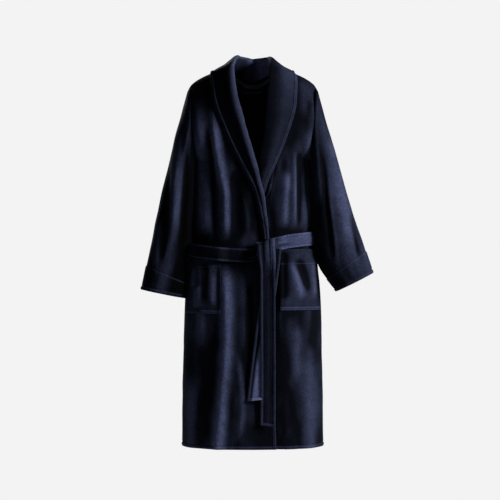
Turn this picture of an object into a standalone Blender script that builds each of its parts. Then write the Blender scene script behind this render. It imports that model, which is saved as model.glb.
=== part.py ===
"""Knee-length plush bathrobe with a shawl collar, tied with its belt.

Metres, +Z up. The robe faces -Y, so the wearer's right side is at -X and left side at +X.
The origin is on the centre plane at the height of the neck base, between the shoulders.
The wearer's right front lies over the left front.
"""
import math

import bmesh
import bpy
from mathutils import Vector

RIGHT, LEFT = -1, 1
SIDE_NAME = {RIGHT: "right", LEFT: "left"}

# Cloth
FABRIC = 0.004            # plush body cloth, folded edges included
COLLAR_CLOTH = 0.0035
FACING_CLOTH = 0.0025
SEAM_GAP = 0.0022         # half the gap along a seam between two panels
LAYER = 0.012             # how far the left front passes behind the right front
LAYER_START = 0.012       # the left front starts to sink this far outside the right's edge
LAYER_SPREAD = 0.035      # and is fully behind it over this width

# Body, by height
HEM = -1.141
SHOULDER_TIP = Vector((0.2015, 0, -0.025))
UNDERARM = Vector((0.178, 0, -0.25))
HALF_WIDTH = [(HEM, 0.220), (-0.70, 0.211), (-0.52, 0.188), (-0.40, 0.184), (-0.25, 0.178)]
FRONT_DEPTH = [(HEM, 0.134), (-0.72, 0.128), (-0.52, 0.105), (-0.25, 0.105), (0.08, 0.105)]
BACK_DEPTH = [(HEM, 0.125), (-0.72, 0.118), (-0.52, 0.092), (-0.25, 0.105), (0.08, 0.105)]
SECTION_POWER = 2.4       # roundness of the body's cross-section
SHOULDER_ROLL = 0.14      # height over which the shoulder rounds into the chest and the back
ARMHOLE_HALF_DEPTH = 0.080
ARMHOLE_SHORT = 0.005     # the panels stop this far short of the sleeve
ARMHOLE_BLEND = 0.03      # height above the underarm over which that gap opens
SHOULDER_START = 0.07     # where the shoulder line leaves the neck
SHOULDER_FALL = 0.0526    # its even drop out to the shoulder's tip
SHOULDER_ROUNDING = 0.0174  # its extra drop at the tip
NECK_HALF_WIDTH = 0.075
NECK_HEIGHT = 0.045
NECK_DIP = 0.048          # drop of the back neckline at its centre
ROW_CROWDING = 1.8        # above 1, a panel's rows crowd towards the shoulder's curve
COLUMN_CROWDING = 0.75    # share by which the back's columns crowd towards its sides

# Front edges: x of each front's inner edge, by height
RIGHT_FRONT_EDGE = [(HEM, 0.072), (-0.50, 0.044), (-0.37, 0.030), (-0.30, 0.008),
                    (-0.20, -0.030), (-0.10, -0.062), (NECK_HEIGHT, -0.075)]
LEFT_FRONT_EDGE = [(HEM, -0.090), (-0.47, -0.055), (-0.37, 0.034), (-0.30, 0.054),
                   (-0.20, 0.066), (-0.10, 0.080), (NECK_HEIGHT, 0.075)]
FACING_WIDTH = 0.060
FACING_TOP = -0.41
FACING_RAISE = 0.006      # the facing stops this far above the hem
FACING_GAP = 0.002        # between the front's cloth and its facing

# Collar: roll line and outer edge. The back is mirrored, the fronts differ.
COLLAR_ROLL_RADIUS = 0.0045
COLLAR_SEAM_INSET = 0.0045  # from a front's edge to the collar's seam on it
COLLAR_LIFT = 0.0075      # of the roll line and the fall off the front
COLLAR_EDGE_LIFT = 0.0065
NECK_COLLAR = [  # seam, roll line and outer edge, from the centre back over the shoulder
    ((0.002, 0.0875, 0.0005), (0.002, 0.080, 0.072), (0.002, 0.112, -0.020)),
    ((0.050, 0.0605, 0.0215), (0.044, 0.052, 0.073), (0.085, 0.086, -0.002)),
    ((0.074, 0.0100, 0.0480), (0.057, 0.010, 0.072), (0.137, 0.014, 0.026)),
    ((0.073, -0.0350, 0.0380), (0.056, -0.042, 0.054), (0.138, -0.030, 0.018)),
]
FRONT_COLLAR = {  # x and z of the roll line, then of the outer edge, going down
    RIGHT: [((-0.053, 0.010), (-0.127, 0.004)), ((-0.037, -0.078), (-0.117, -0.080)),
            ((-0.009, -0.186), (-0.072, -0.187)), ((0.0124, -0.2635), (-0.030, -0.270)),
            ((0.028, -0.332), (0.008, -0.333)), ((0.037, -0.378), (0.031, -0.382))],
    LEFT: [((0.054, 0.010), (0.134, -0.006)), ((0.0465, -0.093), (0.129, -0.095)),
           ((0.039, -0.186), (0.102, -0.186)), ((0.033, -0.264), (0.070, -0.264)),
           ((0.032, -0.316), (0.049, -0.316))],
}

# Sleeves: outer and inner outline seen from the front, shoulder to hand
SLEEVE_OUTER = {RIGHT: [(-0.2015, -0.025), (-0.279, -0.338), (-0.344, -0.654)],
                LEFT: [(0.2015, -0.025), (0.282, -0.3145), (0.369, -0.604)]}
SLEEVE_INNER = {RIGHT: [(-0.178, -0.25), (-0.2055, -0.470), (-0.217, -0.679)],
                LEFT: [(0.178, -0.25), (0.203, -0.470), (0.257, -0.657)]}
SLEEVE_END_HALF_DEPTH = 0.055
SLEEVE_FORWARD = 0.045    # how far the hand end hangs in front of the shoulder
CUFF_START = 0.885        # share of the sleeve's length above the cuff
CUFF_CLOTH = 0.005
CUFF_GAP = 0.004          # left above the cuff, as a share of the sleeve's length
CUFF_STAND = 0.0015       # the cuff's outer face stands this far off the sleeve's

# Pockets: inner side, then bottom and top edge
POCKET_INNER_X = {RIGHT: -0.098, LEFT: 0.084}
POCKET_FROM_SIDE = 0.006  # from the side seam to the pocket's outer edge
POCKET_Z = {RIGHT: (-0.726, -0.541), LEFT: (-0.716, -0.531)}
POCKET_HOLLOW = 0.014
POCKET_MOUTH = 0.009      # the hollow's depth at the top edge
POCKET_SEAM = 0.0008      # the hollow's depth along the sewn edges
POCKET_SLOPE = 0.16       # share of the pocket over which it swells from them
POCKET_CLOTH = 0.003
POCKET_BAND_HEIGHT = 0.045
POCKET_BAND_CLOTH = 0.002
POCKET_BAND_GAP = 0.0012

# Belt
BELT_HEIGHT = 0.042
BELT_CLOTH = 0.005
BELT_STAND = 0.002        # clearance between the belt and the robe
BELT_OVER_POCKET = 0.020  # the belt rides this far out over the right pocket's top
BELT_POCKET_REACH = (-0.185, -0.070)  # and does so between these two x, over
BELT_POCKET_BLEND = 0.03  # this width at each end
BELT_LEVEL = -0.52        # height at which places along the belt are measured
BELT_UNDER_KNOT = 0.002   # the belt stops this far short of the knot
BELT_CENTRE = [(-0.19, -0.527), (-0.10, -0.543), (0.00, -0.546), (0.045, -0.522),
               (0.087, -0.503), (0.19, -0.4945)]
KNOT_LOW = Vector((0.0155, -0.148, -0.549))
KNOT_HIGH = Vector((0.074, -0.1115, -0.493))
KNOT_ROUNDING = 0.009
TAIL_WIDTH = 0.043
TAIL_CLOTH = 0.0045
LONG_TAIL_HINGE = Vector((0.0465, -0.1425, KNOT_LOW.z - 0.0025))
LONG_TAIL_TOP = LONG_TAIL_HINGE + Vector((0, -0.001, -0.0045))
LONG_TAIL_END = Vector((LONG_TAIL_TOP.x, LONG_TAIL_TOP.y, -1.066))
SHORT_TAIL_TOP = Vector((0.060, -0.1375, KNOT_LOW.z - 0.001))
SHORT_TAIL_END = Vector((0.006, SHORT_TAIL_TOP.y, -0.989))
SHORT_TAIL_HINGE = SHORT_TAIL_TOP - Vector((TAIL_WIDTH / 2, 0, 0))
BELT_LOOP_HEIGHT = 0.066
BELT_LOOP_WIDTH = 0.012
BELT_LOOP_CLOTH = 0.002
BELT_LOOP_GAP = 0.0015    # between the belt and the loop's inner face
BELT_LOOP_SEWN = 0.002    # the loop's stand where it is sewn to the side seam
BELT_LOOP_ANGLE = 14      # degrees forward of the side, round the waist
WAIST_RADIUS = 0.17       # of the waist's curve beside the loops

# Back neck
TAPE_HEIGHT = 0.012
TAPE_CLOTH = 0.0012
TAPE_SHORT = 0.020        # the tape stops this far short of the neckline's ends
TAPE_DROP = 0.002         # its top edge below the neck seam
TAPE_GAP = 0.0035         # between the back's cloth and the tape
HANGER_HALF_WIDTH = 0.030
HANGER_DROP = 0.026
HANGER_CORNER = 0.007
HANGER_TAPE = 0.008       # width of the loop's tape, front to back
HANGER_CLOTH = 0.002
HANGER_TOP = Vector((0, 0.0755, -0.006))

NAVY = (0.030, 0.036, 0.072)
LIGHT_NAVY = (0.042, 0.050, 0.095)
BELT_NAVY = (0.026, 0.031, 0.064)
TAPE_NAVY = (0.016, 0.019, 0.040)


def clear_scene():
    for item in list(bpy.data.objects):
        bpy.data.objects.remove(item, do_unlink=True)


def along(table, t):
    """Smooth curve through the table's (t, value) rows, level beyond both ends."""
    if t <= table[0][0]:
        return table[0][1]
    if t >= table[-1][0]:
        return table[-1][1]
    i = max(k for k in range(len(table) - 1) if table[k][0] <= t)

    def slope(k):
        low, high = table[max(k - 1, 0)], table[min(k + 1, len(table) - 1)]
        return (high[1] - low[1]) / (high[0] - low[0])

    (t0, a), (t1, b) = table[i], table[i + 1]
    span = t1 - t0
    s = (t - t0) / span
    return ((1 + 2 * s) * (1 - s) ** 2 * a + s * s * (3 - 2 * s) * b
            + s * (1 - s) ** 2 * span * slope(i) - s * s * (1 - s) * span * slope(i + 1))


def through(points, t):
    """Smooth curve through evenly timed points, for t from 0 to 1."""
    last = len(points) - 1
    rows = [[(k / last, p[axis]) for k, p in enumerate(points)] for axis in range(len(points[0]))]
    return Vector([along(row, t) for row in rows])


def smoothstep(t):
    t = min(max(t, 0.0), 1.0)
    return t * t * (3 - 2 * t)


# ---- The body's form -------------------------------------------------------------------------

def side_x(z):
    """Half width of the body at height z: along the armhole, then down the side seam."""
    if z > UNDERARM.z:
        share = (z - UNDERARM.z) / (SHOULDER_TIP.z - UNDERARM.z)
        return UNDERARM.x + share * (SHOULDER_TIP.x - UNDERARM.x)
    return along(HALF_WIDTH, z)


def panel_side_x(z):
    """Where a panel ends at the side: a little short of the sleeve above the underarm."""
    return side_x(z) - ARMHOLE_SHORT * smoothstep((z - UNDERARM.z) / ARMHOLE_BLEND)


def shoulder_z(x):
    """Height of the shoulder line, which rises towards the neck."""
    out = (abs(x) - SHOULDER_START) / (SHOULDER_TIP.x - SHOULDER_START)
    return NECK_HEIGHT - SHOULDER_FALL * out - SHOULDER_ROUNDING * max(out, 0) ** 6


def back_neck_z(x):
    return NECK_HEIGHT - NECK_DIP * (1 - (x / NECK_HALF_WIDTH) ** 2)


def armhole_half_depth(z):
    middle = (SHOULDER_TIP.z + UNDERARM.z) / 2
    reach = (SHOULDER_TIP.z - UNDERARM.z) / 2
    return ARMHOLE_HALF_DEPTH * math.sqrt(max(0.0, 1 - ((z - middle) / reach) ** 2))


def body_depth(x, z, depths):
    """Distance of the cloth's outer face from the plane y = 0."""
    drop = min(max(shoulder_z(x) - z, 0.0) / SHOULDER_ROLL, 1.0)
    rounding = math.sqrt(1 - (1 - drop) ** 2)
    across = min(abs(x) / side_x(z), 1.0) ** SECTION_POWER
    depth = math.sqrt(along(depths, z) ** 2 * (1 - across) + armhole_half_depth(z) ** 2 * across)
    return depth * rounding + SEAM_GAP


def front_depth(x, z):
    return body_depth(x, z, FRONT_DEPTH)


def left_front_inset(x, z):
    """The left front sinks behind the right front where the two overlap."""
    out = x - along(RIGHT_FRONT_EDGE, z) - LAYER_START
    return LAYER * (1 - smoothstep(out / LAYER_SPREAD))


def left_front_depth(x, z):
    return front_depth(x, z) - left_front_inset(x, z)


def back_depth(x, z):
    return body_depth(x, z, BACK_DEPTH)


def off_panel(x, z, depth, facing, distance):
    """The point this far outward from a panel's outer face, square to it."""
    step = 0.002
    across = Vector((2 * step, facing * (depth(x + step, z) - depth(x - step, z)), 0))
    up = Vector((0, facing * (depth(x, z + step) - depth(x, z - step)), 2 * step))
    outward = up.cross(across).normalized() * facing
    return Vector((x, facing * depth(x, z), z)) + outward * distance


# ---- Building blocks -------------------------------------------------------------------------

def material(name, colour, roughness):
    made = bpy.data.materials.new(name)
    made.use_nodes = True
    shader = made.node_tree.nodes["Principled BSDF"]
    shader.inputs["Base Color"].default_value = (*colour, 1)
    shader.inputs["Roughness"].default_value = roughness
    shader.inputs["Metallic"].default_value = 0
    return made


def add_object(name, bm, paint, origin=(0, 0, 0)):
    """Make an object from world-space geometry, with its origin at the given point."""
    origin = Vector(origin)
    bmesh.ops.translate(bm, verts=bm.verts, vec=-origin)
    mesh = bpy.data.meshes.new(name)
    bm.to_mesh(mesh)
    bm.free()
    mesh.materials.append(paint)
    mesh.shade_smooth()
    mesh.set_sharp_from_angle(angle=math.radians(50))
    made = bpy.data.objects.new(name, mesh)
    made.location = origin
    robe.objects.link(made)
    return made


def cloth(name, place, columns, rows, thickness, paint, offset=-1, origin=(0, 0, 0), tube=False):
    """A sheet of cloth: a grid bent to place(u, v), then given its thickness.

    Its outer face is where u runs to the right and v runs up. Offset -1 thickens it inward,
    1 outward and 0 both ways. A tube is welded where u = 0 meets u = 1.
    """
    bm = bmesh.new()
    bmesh.ops.create_grid(bm, x_segments=columns, y_segments=rows, size=0.5)
    for vertex in bm.verts:
        vertex.co = place(vertex.co.x + 0.5, vertex.co.y + 0.5)
    if tube:
        bmesh.ops.remove_doubles(bm, verts=bm.verts, dist=0.00005)
    made = add_object(name, bm, paint, origin)
    solid = made.modifiers.new("Thickness", "SOLIDIFY")
    solid.thickness = thickness
    solid.offset = offset
    solid.use_even_offset = True
    solid.use_quality_normals = True
    return made


# ---- Panels ----------------------------------------------------------------------------------

def panel_point(u, v, edges, top, depth, facing):
    """A point of a body panel: u from its first to its second edge, v from the hem up."""
    down = (1 - v) ** ROW_CROWDING
    x, z = 0.0, HEM
    for _ in range(5):
        first, second = edges(z)
        x = first + (second - first) * u
        z = top(x) + (HEM - top(x)) * down
    return Vector((x, facing * depth(x, z), z))


def back_panel(paint):
    def edges(z):
        return panel_side_x(z), -panel_side_x(z)

    def top(x):
        return back_neck_z(x) if abs(x) < NECK_HALF_WIDTH else shoulder_z(x)

    def place(u, v):
        crowded = 0.5 - 0.5 * math.cos(math.pi * u)
        spread = (1 - COLUMN_CROWDING) * u + COLUMN_CROWDING * crowded
        return panel_point(spread, v, edges, top, back_depth, 1)

    cloth("back_panel", place, 18, 18, FABRIC, paint)


def right_front(paint):
    def place(u, v):
        def edges(z):
            return -panel_side_x(z), along(RIGHT_FRONT_EDGE, z)
        return panel_point(1 - math.cos(math.pi / 2 * u), v, edges, shoulder_z, front_depth, -1)

    cloth("right_front", place, 10, 18, FABRIC, paint)


def left_front(paint):
    def place(u, v):
        def edges(z):
            return along(LEFT_FRONT_EDGE, z), panel_side_x(z)
        return panel_point(math.sin(math.pi / 2 * u), v, edges, shoulder_z, left_front_depth, -1)

    cloth("left_front", place, 11, 18, FABRIC, paint)


def facing(side, paint):
    """The strip that backs a front edge on the inside, from the collar's end to the hem."""
    edge = RIGHT_FRONT_EDGE if side == RIGHT else LEFT_FRONT_EDGE
    outside = front_depth if side == RIGHT else left_front_depth
    behind = FABRIC + FACING_GAP

    def place(u, v):
        z = HEM + FACING_RAISE + (FACING_TOP - HEM) * v
        share = 1 - u if side == RIGHT else u
        x = along(edge, z) + side * FACING_WIDTH * share
        return off_panel(x, z, outside, -1, -behind)

    cloth(f"{SIDE_NAME[side]}_front_facing", place, 3, 16, FACING_CLOTH, paint)


# ---- Collar ----------------------------------------------------------------------------------

def neck_collar_section(side, row):
    """Seam, roll line, middle of the fall, outer edge and outward direction round the neck."""
    seam, roll, edge = (Vector((side * x, y, z)) for x, y, z in row)
    outward = Vector((edge.x - roll.x, edge.y - roll.y, 0)).normalized()
    return seam, roll, (roll + edge) / 2, edge, outward


def front_collar_section(side, row):
    """The same for a section on the front, where the collar lies on the front panel."""
    roll, edge = row
    depth = front_depth if side == RIGHT else left_front_depth
    edges = RIGHT_FRONT_EDGE if side == RIGHT else LEFT_FRONT_EDGE
    seam_x = along(edges, roll[1]) - side * COLLAR_SEAM_INSET
    seam = Vector((seam_x, FABRIC / 2 - depth(seam_x, roll[1]), roll[1]))
    roll_point = off_panel(*roll, depth, -1, COLLAR_LIFT)
    edge_point = off_panel(*edge, depth, -1, COLLAR_EDGE_LIFT)
    middle_x, middle_z = (roll[0] + edge[0]) / 2, (roll[1] + edge[1]) / 2
    middle = off_panel(middle_x, middle_z, depth, -1, COLLAR_LIFT)
    return seam, roll_point, middle, edge_point, Vector((0, -1, 0))


def collar(side, paint):
    """Half of the shawl collar: up from the neck seam, over the roll line and down outside."""
    sections = [neck_collar_section(side, row) for row in NECK_COLLAR]
    sections += [front_collar_section(side, row) for row in FRONT_COLLAR[side]]

    def place(u, v):
        share = u if side == LEFT else 1 - u
        seam, roll, middle, edge, outward = (through([s[k] for s in sections], 1 - share)
                                             for k in range(5))
        tip = (roll - (seam + edge) / 2).normalized()
        out = (outward - outward.dot(tip) * tip).normalized() * COLLAR_ROLL_RADIUS
        profile = [seam, seam.lerp(roll - out, 0.5), roll - out,
                   roll + tip * COLLAR_ROLL_RADIUS, roll + out, middle, edge]
        return profile[round((1 - v) * 6)]

    cloth(f"{SIDE_NAME[side]}_collar", place, 22, 6, COLLAR_CLOTH, paint, offset=0)


# ---- Sleeves ---------------------------------------------------------------------------------

def sleeve_point(side, u, t, stand):
    """A point on the sleeve: u round it and t from the armhole to the hand."""
    outer = through(SLEEVE_OUTER[side], t)
    inner = through(SLEEVE_INNER[side], t)
    outer = Vector((outer.x, 0, outer.y))
    inner = Vector((inner.x, 0, inner.y))
    centre = (outer + inner) / 2
    centre.y -= SLEEVE_FORWARD * t ** 1.5
    reach = (outer - inner) / 2
    half_depth = ARMHOLE_HALF_DEPTH + (SLEEVE_END_HALF_DEPTH - ARMHOLE_HALF_DEPTH) * smoothstep(t)
    angle = 2 * math.pi * u
    across = reach * (1 + stand / reach.length)
    return centre + across * math.cos(angle) + Vector((0, (half_depth + stand) * math.sin(angle), 0))


def sleeve_and_cuff(side, paint, cuff_paint):
    armhole = UNDERARM - SHOULDER_TIP
    away = Vector((-armhole.z * side, 0, armhole.x)).normalized()
    pivot = Vector((side * SHOULDER_TIP.x, 0, SHOULDER_TIP.z))

    def sleeve_place(u, v):
        round_share = u if side == LEFT else 1 - u
        t = (1 - v) * (CUFF_START - CUFF_GAP)
        clear = SEAM_GAP + FABRIC * max(0.0, math.cos(2 * math.pi * u))
        return sleeve_point(side, round_share, t, 0) + away * clear * (1 - t)

    def cuff_place(u, v):
        round_share = u if side == LEFT else 1 - u
        return sleeve_point(side, round_share, 1 - v * (1 - CUFF_START), CUFF_STAND)

    name = SIDE_NAME[side]
    cloth(f"{name}_sleeve", sleeve_place, 16, 9, FABRIC, paint, origin=pivot, tube=True)
    cloth(f"{name}_cuff", cuff_place, 16, 2, CUFF_CLOTH, cuff_paint, origin=pivot, tube=True)


# ---- Pockets ---------------------------------------------------------------------------------

def pocket_stand(across, up):
    """How far the pocket's cloth stands off the front: flat at its sewn edges, open at the top."""
    sewn = min(across, 1 - across, up)
    hollow = POCKET_HOLLOW + (POCKET_MOUTH - POCKET_HOLLOW) * smoothstep((up - 0.6) / 0.25)
    return POCKET_SEAM + hollow * smoothstep(sewn / POCKET_SLOPE)


def pocket(side, paint, band_paint):
    bottom, top = POCKET_Z[side]

    def point(u, z, extra):
        share = u if side == RIGHT else 1 - u
        outer_x = side * (side_x(z) - POCKET_FROM_SIDE)
        across = share ** 1.4
        x = outer_x + (POCKET_INNER_X[side] - outer_x) * across
        stand = pocket_stand(across, (z - bottom) / (top - bottom)) + extra
        return off_panel(x, z, front_depth, -1, stand)

    def patch_place(u, v):
        return point(u, bottom + (top - bottom) * v, 0)

    def band_place(u, v):
        z = top - POCKET_BAND_HEIGHT * (1 - v)
        return point(u, z, POCKET_CLOTH + POCKET_BAND_GAP)

    name = SIDE_NAME[side]
    cloth(f"{name}_pocket", patch_place, 10, 8, POCKET_CLOTH, paint, offset=1)
    cloth(f"{name}_pocket_band", band_place, 10, 2, POCKET_BAND_CLOTH, band_paint, offset=1)


# ---- Belt ------------------------------------------------------------------------------------

def waist_outline(angle, z):
    """The body's outline at height z: angle 0 at the left side, 90 degrees at the back."""
    across = math.copysign(abs(math.cos(angle)) ** (2 / SECTION_POWER), math.cos(angle))
    depths = BACK_DEPTH if math.sin(angle) > 0 else FRONT_DEPTH
    return Vector((side_x(z) * across, along(depths, z) * math.sin(angle), 0))


def belt_centre(angle):
    across = math.cos(angle)
    if math.sin(angle) > 0:
        return (BELT_CENTRE[0][1] * (1 - across) + BELT_CENTRE[-1][1] * (1 + across)) / 2
    return along(BELT_CENTRE, waist_outline(angle, BELT_LEVEL).x)


def belt_point(angle, height, stand):
    """A point this far off the body along the belt, and this far above its centre line."""
    z = belt_centre(angle) + height
    widest = belt_centre(angle) - BELT_HEIGHT / 2
    base = waist_outline(angle, widest)
    ahead = waist_outline(angle + 0.01, widest) - waist_outline(angle - 0.01, widest)
    outward = Vector((ahead.y, -ahead.x, 0)).normalized()
    outer, inner = BELT_POCKET_REACH
    in_front = smoothstep(0.35 - math.sin(angle) / 0.25)
    inside_outer = smoothstep((base.x - outer) / BELT_POCKET_BLEND)
    inside_inner = smoothstep((inner - base.x) / BELT_POCKET_BLEND)
    over_pocket = inside_inner * (in_front + inside_outer) / 2
    base += outward * (stand + SEAM_GAP + BELT_OVER_POCKET * over_pocket)
    return Vector((base.x, base.y, z))


def belt_waist(paint):
    """The belt's turn round the waist, from one side of the knot to the other."""
    stand = BELT_STAND + BELT_CLOTH

    def end_angle(x):
        return math.acos((x / side_x(BELT_LEVEL)) ** (SECTION_POWER / 2))

    start = -end_angle(KNOT_HIGH.x + BELT_UNDER_KNOT)
    end = 2 * math.pi - end_angle(KNOT_LOW.x - BELT_UNDER_KNOT)

    def place(u, v):
        angle = start + (end - start) * u
        return belt_point(angle, BELT_HEIGHT * (v - 0.5), stand)

    cloth("belt_waist", place, 36, 1, BELT_CLOTH, paint)


def belt_knot(paint):
    bm = bmesh.new()
    bmesh.ops.create_cube(bm, size=1)
    size = KNOT_HIGH - KNOT_LOW
    bmesh.ops.scale(bm, verts=bm.verts, vec=size)
    bmesh.ops.translate(bm, verts=bm.verts, vec=(KNOT_HIGH + KNOT_LOW) / 2)
    made = add_object("belt_knot", bm, paint)
    bevel = made.modifiers.new("Soft edges", "BEVEL")
    bevel.width = KNOT_ROUNDING
    bevel.segments = 2


def belt_tail(name, top, end, hinge, paint):
    """A flat free end of the belt, hanging from its hinge under the knot."""
    def place(u, v):
        centre = end.lerp(top, v)
        return centre + Vector((TAIL_WIDTH * (u - 0.5), 0, 0))

    cloth(name, place, 2, 8, TAIL_CLOTH, paint, offset=0, origin=hinge)


def belt_loop(side, paint):
    """A narrow strap sewn to the side seam above and below the belt."""
    angle = math.radians(BELT_LOOP_ANGLE if side == LEFT else 180 - BELT_LOOP_ANGLE)
    stand = BELT_STAND + BELT_CLOTH + BELT_LOOP_GAP
    profile = [(0.001, 0.5), (0.35, 0.47), (1, 0.40), (1, -0.40), (0.35, -0.47), (0.001, -0.5)]

    def place(u, v):
        out, up = profile[round((1 - v) * 5)]
        turn = (u - 0.5) * BELT_LOOP_WIDTH / WAIST_RADIUS
        loop_stand = BELT_LOOP_SEWN + (stand - BELT_LOOP_SEWN) * out
        return belt_point(angle + turn, BELT_LOOP_HEIGHT * up, loop_stand)

    cloth(f"{SIDE_NAME[side]}_belt_loop", place, 2, 5, BELT_LOOP_CLOTH, paint, offset=1)


# ---- Back neck -------------------------------------------------------------------------------

def neck_tape(paint):
    """The tape that covers the neck seam on the inside of the back."""
    half = NECK_HALF_WIDTH - TAPE_SHORT

    def place(u, v):
        x = half * (1 - 2 * u)
        z = back_neck_z(x) - TAPE_DROP - TAPE_HEIGHT * (1 - v)
        return off_panel(x, z, back_depth, 1, -FABRIC - TAPE_GAP)

    cloth("neck_tape", place, 10, 1, TAPE_CLOTH, paint)


def hanger_loop(paint):
    """A U of narrow tape hanging inside the back neck. Its flat bottom rests on a hook."""
    half, drop, corner = HANGER_HALF_WIDTH, HANGER_DROP, HANGER_CORNER
    path = [(-half, 0), (-half, corner - drop), (corner - half, -drop),
            (half - corner, -drop), (half, corner - drop), (half, 0)]

    def place(u, v):
        x, z = path[round(u * 5)]
        return HANGER_TOP + Vector((x, HANGER_TAPE * (v - 0.5), z))

    cloth("hanger_loop", place, 5, 1, HANGER_CLOTH, paint, offset=0, origin=HANGER_TOP)


clear_scene()
robe = bpy.data.collections.new("bathrobe")
bpy.context.scene.collection.children.link(robe)

plush = material("body_plush", NAVY, 0.95)
collar_plush = material("collar_plush", LIGHT_NAVY, 0.95)
trim_plush = material("trim_plush", LIGHT_NAVY, 0.9)
belt_plush = material("belt_plush", BELT_NAVY, 0.95)
woven_tape = material("woven_tape", TAPE_NAVY, 0.7)

back_panel(plush)
right_front(plush)
left_front(plush)
for each_side in (RIGHT, LEFT):
    facing(each_side, trim_plush)
    collar(each_side, collar_plush)
    sleeve_and_cuff(each_side, plush, trim_plush)
    pocket(each_side, plush, trim_plush)
    belt_loop(each_side, belt_plush)
belt_waist(belt_plush)
belt_knot(belt_plush)
belt_tail("belt_tail_long", LONG_TAIL_TOP, LONG_TAIL_END, LONG_TAIL_HINGE, belt_plush)
belt_tail("belt_tail_short", SHORT_TAIL_TOP, SHORT_TAIL_END, SHORT_TAIL_HINGE, belt_plush)
neck_tape(woven_tape)
hanger_loop(woven_tape)
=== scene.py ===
"""Looks of the plush bathrobe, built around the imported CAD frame.

Metres, +Z up, the robe faces -Y. "Right" and "left" are the wearer's: right is at -X.
Tables of folds, and tables inside mm(), are in millimetres.
Every cloth piece is a dense grid bent to the robe's worn form, with its folds, seams and
topstitching shaped in the mesh, then given its thickness and soft rounded edges.
"""
import math

import bpy
import numpy as np
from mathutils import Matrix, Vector


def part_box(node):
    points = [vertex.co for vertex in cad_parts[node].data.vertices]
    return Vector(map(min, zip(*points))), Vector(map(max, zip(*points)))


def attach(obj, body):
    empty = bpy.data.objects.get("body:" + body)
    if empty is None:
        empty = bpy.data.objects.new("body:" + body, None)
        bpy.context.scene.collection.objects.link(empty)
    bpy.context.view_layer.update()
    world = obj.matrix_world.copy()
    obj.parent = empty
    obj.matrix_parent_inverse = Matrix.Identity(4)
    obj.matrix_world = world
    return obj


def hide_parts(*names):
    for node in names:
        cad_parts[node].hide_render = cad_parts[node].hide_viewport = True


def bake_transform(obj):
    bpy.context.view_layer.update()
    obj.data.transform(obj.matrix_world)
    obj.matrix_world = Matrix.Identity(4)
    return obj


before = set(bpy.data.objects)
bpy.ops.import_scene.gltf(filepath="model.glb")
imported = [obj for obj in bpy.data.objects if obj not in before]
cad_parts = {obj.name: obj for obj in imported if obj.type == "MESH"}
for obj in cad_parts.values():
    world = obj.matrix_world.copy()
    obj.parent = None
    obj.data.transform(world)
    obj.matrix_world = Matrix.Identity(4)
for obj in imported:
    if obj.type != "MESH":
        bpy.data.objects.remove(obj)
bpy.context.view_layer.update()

RIGHT, LEFT = -1, 1
SIDE = {RIGHT: "right", LEFT: "left"}

# Cloth
PLUSH = 0.0036            # body cloth, pile included
DOUBLED = 0.005           # belt and cuffs, two layers
BACKING = 0.0022          # front facings
STRAP = 0.002             # pocket bands, belt loops and the hanger loop
TAPE = 0.0012
SOFT_RIM = 0.0011         # rounding of a piece's edges
THICK_RIM = 0.0016        # the same on the collar and the belt
THIN_RIM = 0.0006         # the same on straps and backing
DARKEST_PAINTED_SHADE, BRIGHTEST_PAINTED_LIGHT = 0.04, 1.6  # least and most of the painted light and shade that scales the colour
SEAM_GAP = 0.0004
LAYER = 0.0095            # how far the left front passes behind the right front
STITCH_INSET = 0.011      # from a finished edge to its topstitching
RIM_INSET = 0.0075        # the same on the belt
GROOVE = 0.0015           # half width of the groove that stitches pull in

# Body, by height, as the CAD has it
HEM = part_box("back_panel")[0].z
SHOULDER_TIP = Vector((0.2015, 0, -0.025))
UNDERARM = Vector((0.178, 0, -0.25))
HALF_WIDTH = [(HEM, 0.2215), (-0.7, 0.2125), (-0.58, 0.2035), (-0.52, 0.1945), (-0.4, 0.184),
              (-0.25, 0.178)]
FRONT_DEPTH = [(HEM, 0.134), (-0.72, 0.128), (-0.52, 0.105), (-0.25, 0.105), (0.08, 0.105)]
BACK_DEPTH = [(HEM, 0.125), (-0.72, 0.118), (-0.52, 0.092), (-0.25, 0.105), (0.08, 0.105)]
SECTION_POWER = 2.4
SHOULDER_ROLL = 0.14
ARMHOLE_HALF_DEPTH = 0.08
NECK_HALF_WIDTH = 0.075
NECK_HEIGHT = 0.045
NECK_DIP = 0.048
RIGHT_FRONT_EDGE = [(HEM, 0.072), (-0.5, 0.044), (-0.37, 0.03), (-0.3, 0.008),
                    (-0.2, -0.03), (-0.1, -0.062), (NECK_HEIGHT, -0.075)]
LEFT_FRONT_EDGE = [(HEM, -0.09), (-0.47, -0.055), (-0.37, 0.034), (-0.3, 0.054),
                   (-0.2, 0.066), (-0.1, 0.08), (NECK_HEIGHT, 0.075)]
BELT_CENTRE = [(-0.19, -0.527), (-0.1, -0.543), (0.00, -0.546), (0.045, -0.522),
               (0.09, -0.5085), (0.14, -0.501), (0.19, -0.495)]
BACK_BELT_CENTRE = [BELT_CENTRE[0], BELT_CENTRE[-1]]
BELOW_BELT = -0.56
ABOVE_BELT = -0.5         # ---- Curves and noise ----

def mm(table):
    """Metres from a table of millimetres."""
    return np.array(table, float) / 1000


def along(table, t):
    """Smooth curve through the table's (t, value) rows, level beyond both ends."""
    ts = np.array([row[0] for row in table], float)
    values = np.array([row[1] for row in table], float)
    t = np.clip(np.asarray(t, float), ts[0], ts[-1])
    k = np.arange(len(ts))
    high, low = np.minimum(k + 1, len(ts) - 1), np.maximum(k - 1, 0)
    slopes = (values[high] - values[low]) / (ts[high] - ts[low])
    i = np.clip(np.searchsorted(ts, t, side="right") - 1, 0, len(ts) - 2)
    span = ts[i + 1] - ts[i]
    s = (t - ts[i]) / span
    return ((1 + 2 * s) * (1 - s) ** 2 * values[i] + s * s * (3 - 2 * s) * values[i + 1]
            + s * (1 - s) ** 2 * span * slopes[i] - s * s * (1 - s) * span * slopes[i + 1])


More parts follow.
